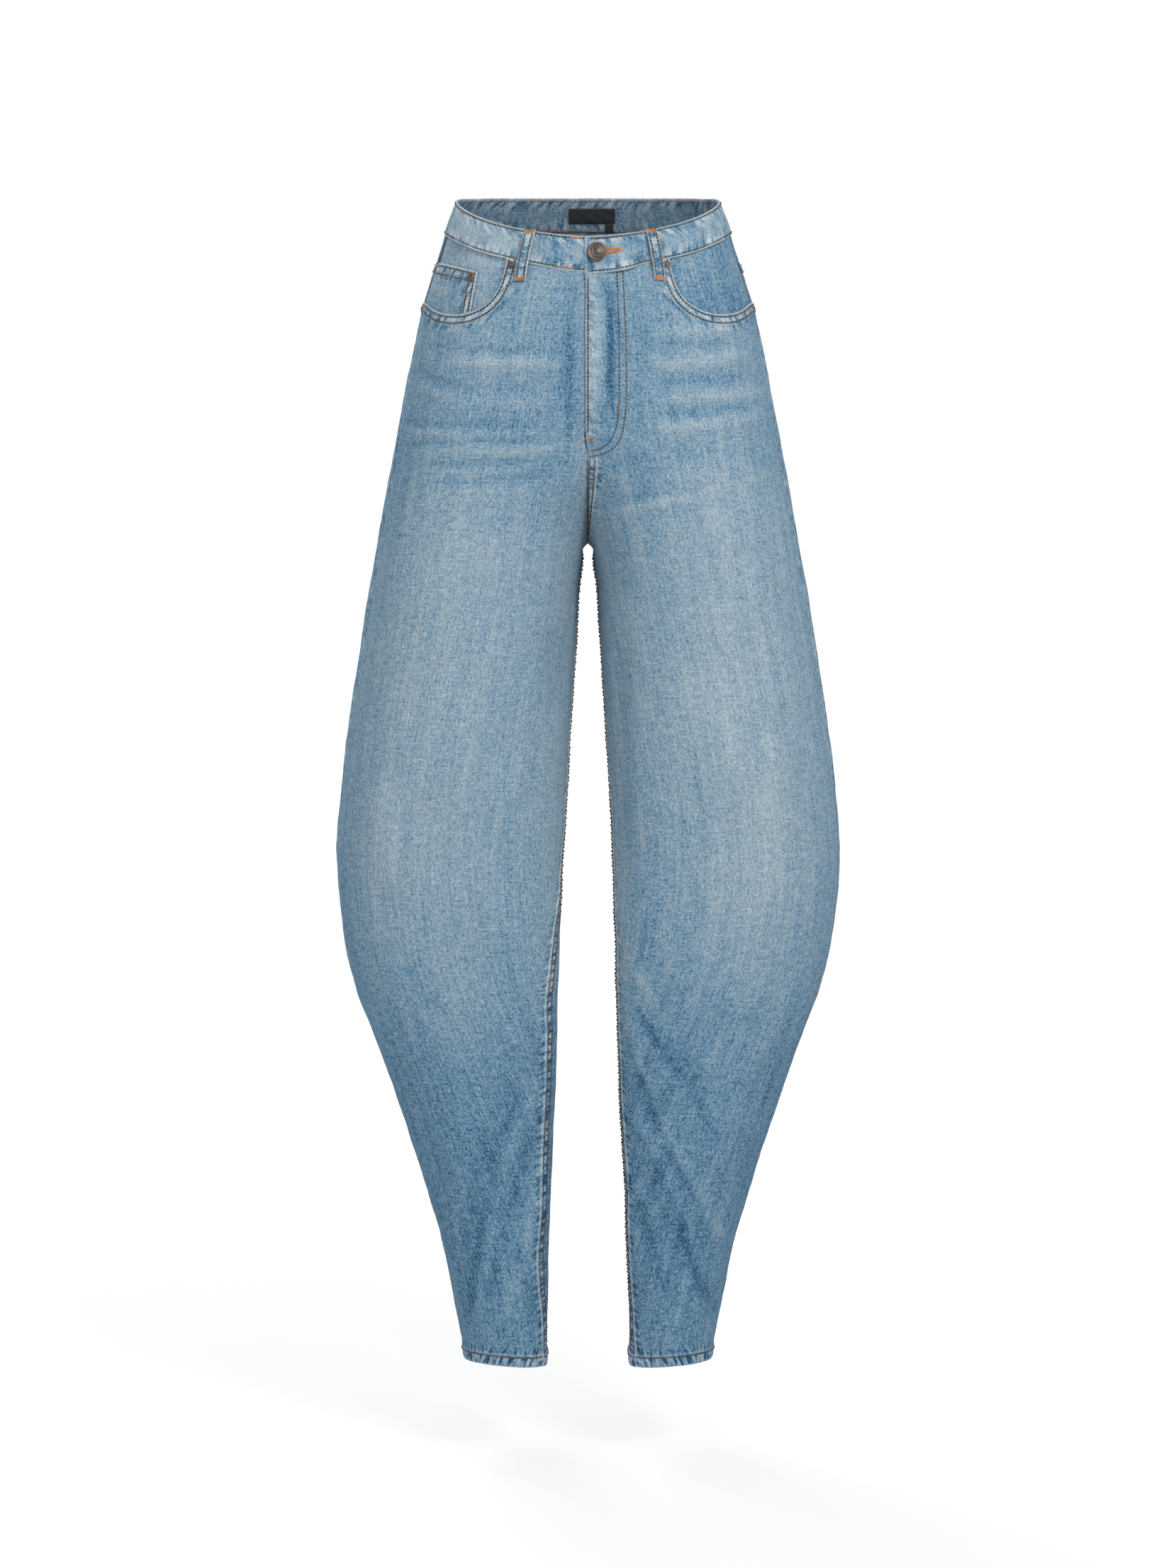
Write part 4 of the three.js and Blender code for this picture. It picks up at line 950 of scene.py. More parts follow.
def seam_z(side, t):
    """The height of the seam between the waistband and the legs."""
    t = np.asarray(t, float)
    return waist_seam(t) - LAP_DROP * lap_part(side, t * HALF_FRONT)


def waist_line(side, t0, t1, count=70):
    """The waist seam between two stations, in arc length and height."""
    t = np.linspace(t0, t1, count)
    z = seam_z(side, t) + TUCK
    a = np.where(t <= 1, -(1 - t) * front_length(side, z), (t - 1) * back_length(side, z))
    return np.stack([a, z], 1)


def front_edge(side, z):
    """The centre front edge's distance past the middle, as on the solids."""
    foot = LAP_EDGE * ease((z - FLY_FOOT_Z + 24) / 24) + GAP / 2
    if side == "left":
        return np.where(z > FLY_FOOT_Z, -LAP_EDGE, -foot + GAP)
    return foot - (FLY_UNDER + foot) * ease((z - FLY_FOOT_Z - 2) / 10)


def seat_lap(side, z):
    """How far the edge of a back piece lies past the middle: the left one lies over the right one."""
    over = SEAT_LAP * ease((z + 300) / 20) if side == "left" else 0.0
    return over - GAP / 2


CROTCH_LEVELS = np.concatenate([
    np.arange(-236, -290, -4.0), np.arange(-290, -308, -1.5), np.arange(-308, -313.6, -0.7),
    np.array([-313.9, -314.3, -315, -316, -317.5, -319.5, -322, -326, -331]),
])


def hem_z(side, a):
    """The hem's height, which rises a little in the middle of the front."""
    part = np.clip(-np.asarray(a, float) / front_length(side, HEM_Z), 0, 1)
    return HEM_Z + HEM_RISE * np.sin(np.pi * part) ** 2


def middle_line(side, top, back=False):
    """The centre and inseam edge of a piece from its top to the hem."""
    upper = np.arange(top, -236, -4.0)
    lower = np.arange(-336, HEM_Z, -5.0)
    z = np.concatenate([upper, CROTCH_LEVELS, lower, [HEM_Z]])
    if back:
        return np.stack([back_length(side, z) + seat_lap(side, z), z], 1)
    shift = np.where(z > -245, front_edge(side, z), GAP / 2)
    return np.stack([-front_length(side, z) + shift, z], 1)


def upright(a, z):
    """A line that runs straight up or down at one arc length."""
    return np.stack([np.full(len(z), a), z], 1)


def hem_line(side, a, up=0.0):
    return np.stack([a, hem_z(side, a) + up], 1)


def inside_outline(points, outline):
    """Which points lie in a closed outline."""
    x, z = points[:, 0], points[:, 1]
    ax, az = outline[:, 0], outline[:, 1]
    bx, bz = np.roll(ax, -1), np.roll(az, -1)
    odd = np.zeros(len(points), bool)
    for k in range(len(ax)):
        if az[k] == bz[k]:
            continue
        crosses = (az[k] > z) != (bz[k] > z)
        cut = ax[k] + (z - az[k]) * (bx[k] - ax[k]) / (bz[k] - az[k])
        odd ^= crosses & (x < cut)
    return odd


def point_tree(points):
    tree = KDTree(len(points))
    for k, (x, z) in enumerate(points):
        tree.insert((x, z, 0), k)
    tree.balance()
    return tree


def line_distance(points, line, reach=SEAM_REACH):
    """Distance of each point to a line, up to reach."""
    fine = resample(line, 0.5)
    tree = point_tree(fine)
    found = np.full(len(points), reach, float)
    low = fine.min(0) - reach
    high = fine.max(0) + reach
    close = np.all((points > low) & (points < high), axis=1)
    for k in np.nonzero(close)[0]:
        found[k] = min(reach, tree.find((points[k][0], points[k][1], 0))[2])
    return found


def edge_distance(points, outline, reach):
    return line_distance(points, np.vstack([outline, outline[:1]]), reach)


def line_toward(line, target, distance):
    """A line moved sideways to the side on which the target lies."""
    one = polyline_shift(line, distance)
    two = polyline_shift(line, -distance)
    gap_one = np.linalg.norm(one.mean(0) - target)
    gap_two = np.linalg.norm(two.mean(0) - target)
    return one if gap_one < gap_two else two


def inset_sides(corners, distance):
    """A line that follows the sides and foot of a pocket at a distance inside its edge."""
    corners = np.asarray(corners, float)
    middle = corners.mean(0)
    sides = []
    for first, second in zip(corners[:-1], corners[1:]):
        along = (second - first) / np.hypot(*(second - first))
        across = np.array([along[1], -along[0]])
        if np.dot(middle - first, across) < 0:
            across = -across
        sides.append((first + across * distance, along))
    line = [sides[0][0] + sides[0][1] * 0.5]
    for (p, u), (q, v) in zip(sides[:-1], sides[1:]):
        crossing = np.linalg.solve(np.stack([u, -v], 1), q - p)
        line.append(p + u * crossing[0])
    line.append(corners[-1] + (sides[-1][0] - corners[-2]) - sides[-1][1] * 0.5)
    return resample(np.array(line), 1.0)


def mesh_spots(outline, step, fine, features):
    """Places for points inside an outline: rows at a step, finer in some bands, and along features."""
    low, high = outline.min(0), outline.max(0)
    bands = [(low[1], high[1], step)]
    for z0, z1, small in fine:
        bands = [part for band_of in bands for part in split_band(band_of, z0, z1, small)]
    spots = []
    for z0, z1, size in bands:
        for k, z in enumerate(np.arange(z0 + size * 0.4, z1, size * 0.87)):
            xs = np.arange(low[0] + (size / 2 if k % 2 else 0), high[0], size)
            spots.append(np.stack([xs, np.full(len(xs), z), np.full(len(xs), size)], 1))
    spots = np.concatenate(spots)
    spots = spots[inside_outline(spots, outline)]
    spots = spots[edge_distance(spots[:, :2], outline, 5.0) > 0.45 * spots[:, 2]]
    if not features:
        return spots[:, :2]
    followed = np.concatenate([resample(line, 2.0) for line in features if len(line) > 2])
    followed = followed[inside_outline(followed, outline)]
    followed = followed[edge_distance(followed, outline, 5.0) > 0.5]
    tree = point_tree(followed)
    free = [tree.find((x, z, 0))[2] > 0.6 * size for x, z, size in spots]
    return np.concatenate([spots[free][:, :2], followed])


# How far a piece's edge turns down
EDGE_DIP = 0.45


def cut_piece(name, node, side, outline, step, out=0.0, base=0.0, thick=1.2, fine=(),
              edge_wear=0.0, extra=None, mouth=None, fly=None, features=()):
    """A piece of cloth with a closed outline in arc length and height, with a turned edge."""
    outline = resample_closed(outline, min(step, 2.0))
    every = np.concatenate([outline, mesh_spots(outline, step, fine, features)])
    count = len(outline)
    ring = [(k, (k + 1) % count) for k in range(count)]
    made = geometry.delaunay_2d_cdt([Vector(p) for p in every], ring, [list(range(count))], 1, 1e-4)
    flat = np.array([(v.x, v.y) for v in made[0]])
    faces = [list(f) for f in made[2]]
    near = edge_distance(flat, outline, 12.0)
    more = -EDGE_DIP * ridge(near, 0, 0.7)
    if extra is not None:
        more = more + extra(flat)
    points, normals = cloth(side, flat[:, 0], flat[:, 1], out, more)
    # wash, with a painted highlight and painted shade on the creases
    lightness = wear_and_shade_of(points, normals, base) + fold_wear_and_shade(side, flat[:, 0], flat[:, 1])
    # the roping, and the painted shadow under lapped seams
    lightness += seam_roping_and_shadow(side, flat[:, 0], flat[:, 1])
    lightness += edge_wear * ridge(near, 0, 1.4)
    seams = seam_places(side, flat, None if mouth is None else line_distance(flat, mouth))
    if fly is not None:
        seams["seam_edge"] = np.stack([line_distance(flat, fly), flat[:, 1], np.full(len(flat), 0.55)], 1)

    # the rim goes down to the cloth's thickness
    edges = {(a, b) for face in faces for a, b in zip(face, face[1:] + face[:1])}
    rim = [(a, b) for a, b in edges if (b, a) not in edges]
    on_rim = sorted({a for a, b in rim} | {b for a, b in rim})
    index = {v: len(points) + k for k, v in enumerate(on_rim)}
    under = points[on_rim] - normals[on_rim] * (thick - EDGE_DIP)
    faces += [[b, a, index[a], index[b]] for a, b in sorted(rim)]
    item = new_object(
        name, np.concatenate([points, under]), faces, DENIM,
        np.concatenate([lightness, lightness[on_rim]]),
        np.concatenate([flat, flat[on_rim] + 1.0]),
        np.concatenate([normals, np.zeros((len(on_rim), 3))]),
        {key: np.concatenate([value, value[on_rim]]) for key, value in seams.items()},
    )
    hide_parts(node)


def split_band(band, z0, z1, small):
    """A band of heights and its step, split where a part of it has a smaller step."""
    low, high, size = band
    if z1 <= low or z0 >= high:
        return [band]
    parts = []
    if low < z0:
        parts.append((low, z0, size))
    parts.append((max(low, z0), min(high, z1), small))
    if high > z1:
        parts.append((z1, high, size))
    return parts


def resample_closed(outline, step):
    """Even points round an outline that keep its corners."""
    outline = np.asarray(outline, float)
    pieces = []
    start = 0
    count = len(outline)
    turns = []
    for k in range(count):
        u = outline[k] - outline[k - 1]
        v = outline[(k + 1) % count] - outline[k]
        cosine = np.dot(u, v) / max(np.hypot(*u) * np.hypot(*v), 1e-9)
        if cosine < 0.86:
            turns.append(k)
    for k, first in enumerate(turns):
        last = turns[(k + 1) % len(turns)]
        if last <= first:
            chain_of = np.concatenate([outline[first:], outline[: last + 1]])
        else:
            chain_of = outline[first : last + 1]
        pieces.append(resample(chain_of, step)[:-1])
    return np.concatenate(pieces)


def polyline_shift(line, distance):
    """A line in arc length and height moved sideways, to its right when the distance is above zero."""
    step = np.gradient(line, axis=0)
    size = np.maximum(np.hypot(step[:, 0], step[:, 1]), 1e-9)
    return line + np.stack([step[:, 1] / size, -step[:, 0] / size], 1) * distance


def clip_line(line, z_high=math.inf, a_low=-math.inf, a_high=math.inf):
    return line[(line[:, 1] < z_high) & (line[:, 0] > a_low) & (line[:, 0] < a_high)]


def leg_line(side, back, inside, z0, z1, step=2.0):
    """A line that runs down a piece at a fixed distance from its centre or inseam edge."""
    z = np.arange(z0, z1, -step)
    if back:
        return np.stack([back_length(side, z) - inside, z], 1)
    return np.stack([-front_length(side, z) + inside, z], 1)


# Stitches: short bent threads that dive into the cloth at both ends. Each row adds to one kind of
# thread, and the rows of a kind become one piece at the end.
threads = {"brown": [], "orange": []}
STITCH_RINGS = 5
STITCH_SIDES = 5
STITCH_PLACES = np.linspace(0, 1, STITCH_RINGS)


def thread_rings(centre, across, n, thick):
    """Points round the middle line of a thread."""
    angle = np.arange(STITCH_SIDES) * 2 * np.pi / STITCH_SIDES
    side_part = np.cos(angle)[:, None] * thick[:, None, None]
    up_part = np.sin(angle)[:, None] * thick[:, None, None]
    return centre[..., None, :] + across[..., None, :] * side_part + n[..., None, :] * up_part


def stitch_row(kind, line, surface, pitch=3.3, part=0.84, width=0.8, high=0.42, wander=0.12):
    """A row of stitches along a line in arc length and height; surface gives points and normals."""
    line = np.asarray(line, float)
    lengths = running_length(line)
    count = int(lengths[-1] / pitch)
    if count < 1:
        return
    start = (lengths[-1] - count * pitch) / 2
    first = start + np.arange(count) * pitch
    off = wander * uneven(first * 0.9 + 3.1)
    u = STITCH_PLACES
    at = first[:, None] + pitch * ((1 - part) / 2 + part * u[None, :])
    a = np.interp(at, lengths, line[:, 0])
    z = np.interp(at, lengths, line[:, 1])
    p, n = surface(a, z)
    direction = np.gradient(p, axis=1)
    direction /= np.maximum(np.linalg.norm(direction, axis=-1, keepdims=True), 1e-9)
    across = np.cross(n, direction)
    lift = high * np.sin(np.pi * u) - 0.12
    thick = width * (0.55 + 0.45 * np.sin(np.pi * np.clip(u, 0.08, 0.92)))
    centre = p + n * lift[None, :, None] + across * off[:, None, None]
    threads[kind].append(thread_rings(centre, across, n, thick).reshape(-1, 3))


def stitch_faces(count):
    """The triangles of a number of stitches."""
    one = []
    for i in range(STITCH_RINGS - 1):
        for j in range(STITCH_SIDES):
            k = (j + 1) % STITCH_SIDES
            one.append((i * STITCH_SIDES + j, i * STITCH_SIDES + k, (i + 1) * STITCH_SIDES + k))
            one.append((i * STITCH_SIDES + j, (i + 1) * STITCH_SIDES + k, (i + 1) * STITCH_SIDES + j))
    one = np.array(one)
    size = STITCH_RINGS * STITCH_SIDES
    return (one[None] + (np.arange(count) * size)[:, None, None]).reshape(-1, 3)


def on_cloth(side, out=0.0, extra=0.0):
    """The surface of a piece of cloth, for stitches."""
    return lambda a, z: cloth(side, a, z, out, extra)


def bartack(kind, middle, along, long, wide, surface, count=11):
    """A dense bar of short stitches across a line."""
    middle = np.asarray(middle, float)
    along = np.asarray(along, float) / np.hypot(*along)
    side_way = np.array([-along[1], along[0]])
    for k in range(count):
        place = middle + along * long * (k / (count - 1) - 0.5)
        tilt = along * 0.25
        line = np.array([place - side_way * wide / 2 - tilt, place + side_way * wide / 2 + tilt])
        stitch_row(kind, line, surface, pitch=wide * 0.995, part=0.97, width=0.36, high=0.42, wander=0.0)


PANEL_STEP = 2.7
HEM_LINES = [HEM_HEIGHT + d for d in (-1.3, -0.4, 0.4, 1.3)]
HEM_BAND = (HEM_Z - 1, HEM_Z + 18, 1.5)
CROTCH_BAND = (-330, -290, 2.2)
scoop_xz = curve_through(SCOOP_ROWS, 260)


def scoop_line(side):
    """The mouth's edge in arc length and height, from the waist seam to the outseam."""
    line = []
    for x, z in scoop_xz:
        a = a_at(side, x, z)
        if z < float(seam_z(side, front_station(side, a, z))) - GAP and a < -0.4:
            line.append((a, z))
    line = resample(np.array(line), 1.0)
    end = np.array([[-GAP / 2, line[-1][1] + 0.2]])
    return np.vstack([line, end])


def yoke_edge(side):
    """The yoke's lower edge in arc length and height, from the middle to the outseam."""
    rise = YOKE_SIDE_Z - YOKE_MIDDLE_Z
    line = [(x, YOKE_MIDDLE_Z + rise * x / YOKE_REACH) for x in np.linspace(0, YOKE_REACH, 60)]
    line = to_arc(side, [place for place in line if place[0] < 143], True)
    line = np.vstack([line, [[GAP / 2, line[-1][1] + 1.0]]])
    line[0][0] = float(back_length(side, line[0][1]) + seat_lap(side, line[0][1]))
    return line


def seam_features(side, back, z0, z1=-325):
    """Lines that the mesh follows beside a lapped seam."""
    return [leg_line(side, back, inside, z0, z1) for inside in SEAM_LINES]


def outseam_features(way, top):
    """Lines that the mesh follows beside the outseam: way is -1 in front and 1 behind."""
    z = np.linspace(top, HEM_Z + 14, 300)
    return [upright(way * a, z) for a in (1.2, 2.6, 5.2, 8.5)]


def front_piece(side, scoop):
    """A front leg, with the scooped pocket mouth and, on the left, the fly's edge."""
    t_first = float(front_edge(side, -70.0)) / float(front_length(side, -70.0))
    top = waist_line(side, t_first, front_station(side, *scoop[0]))
    middle = middle_line(side, top[0][1] - 3)
    outseam = upright(-GAP / 2, np.arange(scoop[-1][1] - 1.5, HEM_Z, -5.0))
    hem = hem_line(side, np.linspace(-GAP / 2, middle[-1][0], 140))
    outline = np.vstack([top, scoop[1:], outseam, hem, middle[::-1][1:]])
    features = seam_features(side, False, -330, HEM_Z + 14)
    if side == "left":
        features += seam_features(side, False, -236)
    features += outseam_features(-1, -112)
    features += [polyline_shift(scoop, distance) for distance in (1.2, 2.6, 4.6, 6.6, 8.0, 9.4, 11.5)]
    features += [hem_line(side, np.linspace(-3, middle[-1][0] + 3, 260), up) for up in HEM_LINES]

    def scoop_fold(flat):
        """The mouth's turned edge, thicker over its seam allowance, with puckers between its rows."""
        distance = line_distance(flat, scoop)
        turned = bank(distance, -2, 9.6, 1.4) * 0.55
        rows = -0.28 * ridge(distance, 2.6, 0.8) - 0.28 * ridge(distance, 8.0, 0.9)
        wave = 0.22 * ridge(distance, 5, 4) * uneven(flat[:, 0] * 1.3 + flat[:, 1] * 1.1)
        return turned + rows + wave

    fly_z = np.arange(-60, -222, -3.0)
    fly = np.stack([-front_length("left", fly_z) - LAP_EDGE, fly_z], 1) if side == "left" else None
    cut_piece(
        f"front_{side}", f"front_panel_{side}", side, outline, PANEL_STEP,
        fine=(HEM_BAND, CROTCH_BAND, (-236, -60, 2.2)), edge_wear=0.12,
        extra=scoop_fold, mouth=scoop, fly=fly, features=features,
    )


def facing_piece(side, scoop):
    """The side piece under the pocket's mouth."""
    inner = polyline_shift(scoop, 14.0)
    start = inner[np.argmax(inner[:, 1])]
    top = waist_line(side, front_station(side, start[0], -56.0), 1.0)
    top[:, 0] = np.minimum(top[:, 0], -GAP / 2)
    inner = clip_line(inner, z_high=top[0][1] - 1.5, a_high=-3)
    edge = upright(-GAP / 2, np.arange(top[-1][1] - 2, inner[-1][1] - 1, -3.0))
    outline = np.vstack([top, edge, [[-GAP / 2, inner[-1][1]]], inner[::-1]])
    out, base = (-3.3, 0.06) if side == "right" else (-1.8, -0.30)
    cut_piece(f"facing_{side}", f"pocket_facing_{side}", side, outline, 2.2, out, base, thick=1.0)


def back_piece(side, yoke):
    """A back leg below the yoke."""
    middle = middle_line(side, yoke[0][1] - 4, True)
    hem = hem_line(side, np.linspace(middle[-1][0], GAP / 2, 150))
    outseam = upright(GAP / 2, np.arange(HEM_Z + 5, yoke[-1][1] - 2, 5.0))
    low_yoke = yoke + np.array([0, -GAP])
    outline = np.vstack([middle, hem[1:], outseam, low_yoke[::-1]])
    features = outseam_features(1, -70)
    features += [hem_line(side, np.linspace(3, middle[-1][0] - 3, 280), up) for up in HEM_LINES]
    if side == "left":
        features += seam_features(side, True, -95)
    cut_piece(
        f"back_{side}", f"back_panel_{side}", side, outline, PANEL_STEP,
        fine=(HEM_BAND, CROTCH_BAND), edge_wear=0.12, features=features,
    )


def yoke_piece(side, yoke):
    """A back yoke, lapped over the back leg."""
    top = waist_line(side, 1.0, 2.0)
    top[:, 0] = np.maximum(top[:, 0], GAP / 2)
    top[-1][0] += seat_lap(side, top[-1][1])
    z_rear = np.arange(top[-1][1] - 3, yoke[0][1] + 1, -3.0)
    rear = np.stack([back_length(side, z_rear) + seat_lap(side, z_rear), z_rear], 1)

    def yoke_lap(flat):
        distance = line_distance(flat, yoke)
        wave = 0.16 * ridge(distance, 4.5, 4) * uneven(flat[:, 0] * 1.2)
        return bank(distance, -2, 8.4, 1.2) * 0.6 + wave

    cut_piece(
        f"yoke_cloth_{side}", f"yoke_{side}", side, np.vstack([top, rear, yoke]), 2.4, 0.1, 0.04,
        extra=yoke_lap, mouth=yoke, features=[polyline_shift(yoke, d) for d in (1.6, 4.2, 7.0, 8.4, 9.6)],
    )


# Points on each side of a back pocket, and how far the pocket stands off the shell
POCKET_STEPS = 12
POCKET_OUT = 1.7


def rear_pocket(side):
    """A plain back pocket. It returns its outline and its upper edge."""
    corners = np.array(POCKET_CORNERS, float)
    pocket = []
    for corner, after in zip(corners, np.roll(corners, -1, axis=0)):
        pocket += [corner + (after - corner) * u for u in np.linspace(0, 1, POCKET_STEPS, endpoint=False)]
    outline = to_arc(side, pocket, True)
    top = resample(outline[: POCKET_STEPS + 1], 1.0)
    rest = resample(np.vstack([outline[POCKET_STEPS:], outline[:1]]), 1.0)

    def pocket_fold(flat):
        hem_of = line_distance(flat, top, 30.0)
        sides = line_distance(flat, rest, 30.0)
        fold = bank(hem_of, -2, 13.4, 1.3) * 0.5 + bank(sides, -2, 8.6, 1.3) * 0.35
        wave = 0.2 * ridge(hem_of, 7, 5) * uneven(flat[:, 0] * 1.2)
        return fold + wave + 0.18 * ridge(sides, 4, 4) * uneven(flat[:, 1] + flat[:, 0])

    cut_piece(
        f"rear_pocket_{side}", f"back_pocket_{side}", side, outline, 2.2, POCKET_OUT, 0.06,
        extra=pocket_fold, mouth=np.vstack([outline, outline[:1]]),
        features=[line_toward(top, outline.mean(0), d) for d in (11.8, 13.4, 15)],
    )
    return outline, top


def leg_stitches(side, scoop, yoke):
    """The rows at the pocket's mouth, the inseam, the rise, the seat seam, the hem and the yoke."""
    plain = on_cloth(side)
    for distance in (2.4, 8.0):
        stitch_row("brown", polyline_shift(scoop, distance), on_cloth(side, 0.0, 0.3))
    for inside in (2.0, 7.4):
        stitch_row("brown", leg_line(side, False, inside, -322, HEM_Z + 11), plain, 3.4)
        if side == "left":
            stitch_row("brown", leg_line(side, False, inside, -236, -312), plain, 3.3)
            stitch_row("brown", leg_line(side, True, inside, -95, -312), plain, 3.3)
    for way, length in ((-1, front_length), (1, back_length)):
        a = np.linspace(2, float(length(side, HEM_Z + 9)) - 1, 200) * way
        stitch_row("brown", hem_line(side, a, 9.2), plain, 3.4)
    for distance in (2.0, 7.6):
        line = clip_line(polyline_shift(yoke, distance), a_low=3)
        stitch_row("brown", line, on_cloth(side, 0.1, 0.6), 3.3)


def pocket_stitches(side, outline, top):
    """The rows of a back pocket and the bars at its upper corners."""
    corners = np.vstack([outline[POCKET_STEPS::POCKET_STEPS], outline[:1]])
    for distance in (1.8, 7.6):
        stitch_row("brown", inset_sides(corners, distance), on_cloth(side, POCKET_OUT, 0.35), 3.3)
    row = line_toward(top, outline.mean(0), 12.4)
    stitch_row("brown", row, on_cloth(side, POCKET_OUT, 0.4), 3.3)
    for corner in (top[0], top[-1]):
        toward = outline.mean(0) - corner
        toward = toward / np.hypot(*toward)
        middle = corner + toward * 5.2 + np.array([0, 0.8])
        bartack("orange", middle, (0.05, -1), 7.0, 1.8, on_cloth(side, POCKET_OUT, 0.5))


for side in ("right", "left"):
    scoop = scoop_line(side)
    yoke = yoke_edge(side)
    front_piece(side, scoop)
    facing_piece(side, scoop)
    back_piece(side, yoke)
    yoke_piece(side, yoke)
    pocket = rear_pocket(side)
    leg_stitches(side, scoop, yoke)
    pocket_stitches(side, *pocket)


# Waistband: one folded strip from under the lap, round the right side and the back, to the lap's end
BAND_STEP = 2.4
# Half of the strip's thickness, on its middle line
BAND_HALF = (BAND_THICK - 0.5) / 2
# The part of the height over which the strip's folds bend round
BAND_FOLD = 0.045
# Distances of the stitch rows from the upper and from the lower edge
BAND_TOP_ROW = 2.4
BAND_LOW_ROW = 2.6


def band_lengths(side):
    """The band's length in front and behind, on its middle line."""
    return float(front_length(side, FRONT_LEVEL)), float(back_length(side, REAR_LEVEL))


def band_run():
    """Places along the band: side, arc length, waist station and part of the lap's raise."""
    places = []
    mid, rear = band_lengths("left")
    for x in np.arange(LAP_UNDER, 0, -BAND_STEP):
        places.append(("left", -mid + x, x / HALF_FRONT, 0.0))
    for a in np.arange(-mid, 0, BAND_STEP):
        places.append(("right", a, 1 + a / mid, 0.0))
    for a in np.arange(0.5, rear, BAND_STEP):
        places.append(("right", a, 1 + a / rear, 0.0))
    for a in np.arange(rear, 0.5, -BAND_STEP):
        places.append(("left", a, 1 + a / rear, 0.0))
    for a in np.arange(0, -mid - LAP_EDGE, -BAND_STEP * 0.9):
        t = 1 + a / mid
        places.append(("left", a, t, float(lap_part("left", t * HALF_FRONT))))
    places.append(("left", -mid - LAP_EDGE, -LAP_EDGE / HALF_FRONT, 1.0))
    return places


def band_ring(count=26):
    """The strip's own section: the part of its height from the top, and the height off its middle."""
    low, high = BAND_FOLD, 1 - BAND_FOLD
    turns = [math.pi * k / 6 for k in range(1, 6)]
    rows = [(v, BAND_HALF) for v in np.linspace(low, high, count)]
    rows += [(high + BAND_FOLD * math.sin(turned), BAND_HALF * math.cos(turned)) for turned in turns]
    rows += [(v, -BAND_HALF) for v in np.linspace(high, low, 9)]
    rows += [(low - BAND_FOLD * math.sin(turned), -BAND_HALF * math.cos(turned)) for turned in turns]
    return np.array(rows)


def band_edges(t, lift):
    """Heights of the band's upper and lower edge, which are a little lower at the lap."""
    drop = LAP_DROP * lift
    return waist_top(t) - drop * 0.4, waist_seam(t) - drop


def band_surface(side, a, t, v, height, lift):
    """Points of the band by the part v of its height."""
    top, low = band_edges(t, lift)
    z = top + (low - top) * v
    mid, rear = band_lengths(side)
    scale = np.where(np.asarray(a) < 0, front_length(side, z) / mid, 1.0)
    scale = np.where(np.asarray(a) > 0, back_length(side, z) / rear, scale)
    p, n = bare(side, a * scale, z)
    out = BAND_OUT - BAND_THICK / 2 + LAP_RAISE * lift
    return p + n * np.asarray(out + height)[..., None], n


def band_detail(run, v):
    """Soft hollows at the stitch rows and puckers between them."""
    top = v * BAND_HIGH
    low = (1 - v) * BAND_HIGH
    edge = 0.32 * (ridge(top, 1.6, 1.2) + ridge(low, 1.4, 1.2))
    rows = -0.3 * (ridge(top, BAND_TOP_ROW, 0.9) + ridge(low, BAND_LOW_ROW, 0.9))
    wave = 0.34 * uneven(run * 0.62) * ridge(top, 8, 7)
    wave = wave + 0.34 * uneven(run * 0.7 + 5) * ridge(low, 8, 7)
    soft = 0.35 * slow(run * 1.6 + 7 * v) + 0.2 * slow(run * 4.1 - 11 * v)
    return edge + rows + wave + soft


def band_wear_and_shade_of(points, n, v, run, outer, shape):
    """The band's tone: wash pale over the right front, dark marks outside and pale creases inside. Outside,
    the shape's raised parts are lighter and its hollows darker, partly rub and partly painted highlight and
    shade. The whole inside is painted darker as shade.
    """
    top = v * BAND_HIGH
    lightness = wear_and_shade_of(points, n, 0.12 + 0.5 * ridge(run, 140, 50))
    pucker = np.clip(uneven(run * 0.34 + 0.05 * top) - 0.1, 0, 1) * ridge(top, 17, 12)
    # marks, with a painted highlight on raised parts and painted shade in hollows of the shape
    marks_and_shade = 0.14 * slow(run * 2.6 + top * 1.7) + 0.30 * shape - 0.75 * pucker
    crackle = np.clip(uneven(run * 0.62 + 0.10 * top) - 0.3, 0, 1) * 0.9 - 0.12
    # inside: pale creases on a face painted darker as shade
    return lightness + outer * marks_and_shade + (1 - outer) * (crackle - 0.18)


places = band_run()
ring = band_ring()
v, h = ring.T
from_top, from_low = v * BAND_HIGH, (1 - v) * BAND_HIGH
outer = (h > 0).astype(float)
around = np.cumsum(np.abs(np.diff(v, prepend=v[0])) * BAND_HIGH + 0.4)
band_points = []
band_lightness = []
band_flat = []
band_outward = []
band_seams = []
band_runs = []
run = 0.0
for k, (side, a, t, lift) in enumerate(places):
    base, n = band_surface(side, np.full(len(v), a), np.full(len(v), t), v, h, lift)
    if k:
        run += float(np.linalg.norm(base[0] - band_points[-1][0]))
    shape = band_detail(np.full(len(v), run), v) * np.where(h > 0, 1.0, -0.6)
    # the strip's first end is plain
    shape *= ease(run / 4) if k < 3 else 1.0
    point = base + n * shape[:, None]
    band_points.append(point)
    band_lightness.append(band_wear_and_shade_of(point, n, v, run, outer, shape))
    band_flat.append(np.stack([np.full(len(v), run), around], 1))
    band_outward.append(n * np.sign(h)[:, None])
    band_seams.append(np.stack([np.minimum(from_top, from_low), run + 0.35 * from_top, np.ones(len(v))], 1))
    band_runs.append(run)
band_runs = np.array(band_runs)
for seams, place in zip(band_seams, band_runs):
    seams[:, 0] = np.minimum(seams[:, 0], band_runs[-1] - place)
rows, columns = len(places), len(ring)
faces = ring_faces(rows, columns)
band_values = [np.concatenate(values) for values in (band_points, band_lightness, band_flat, band_seams)]


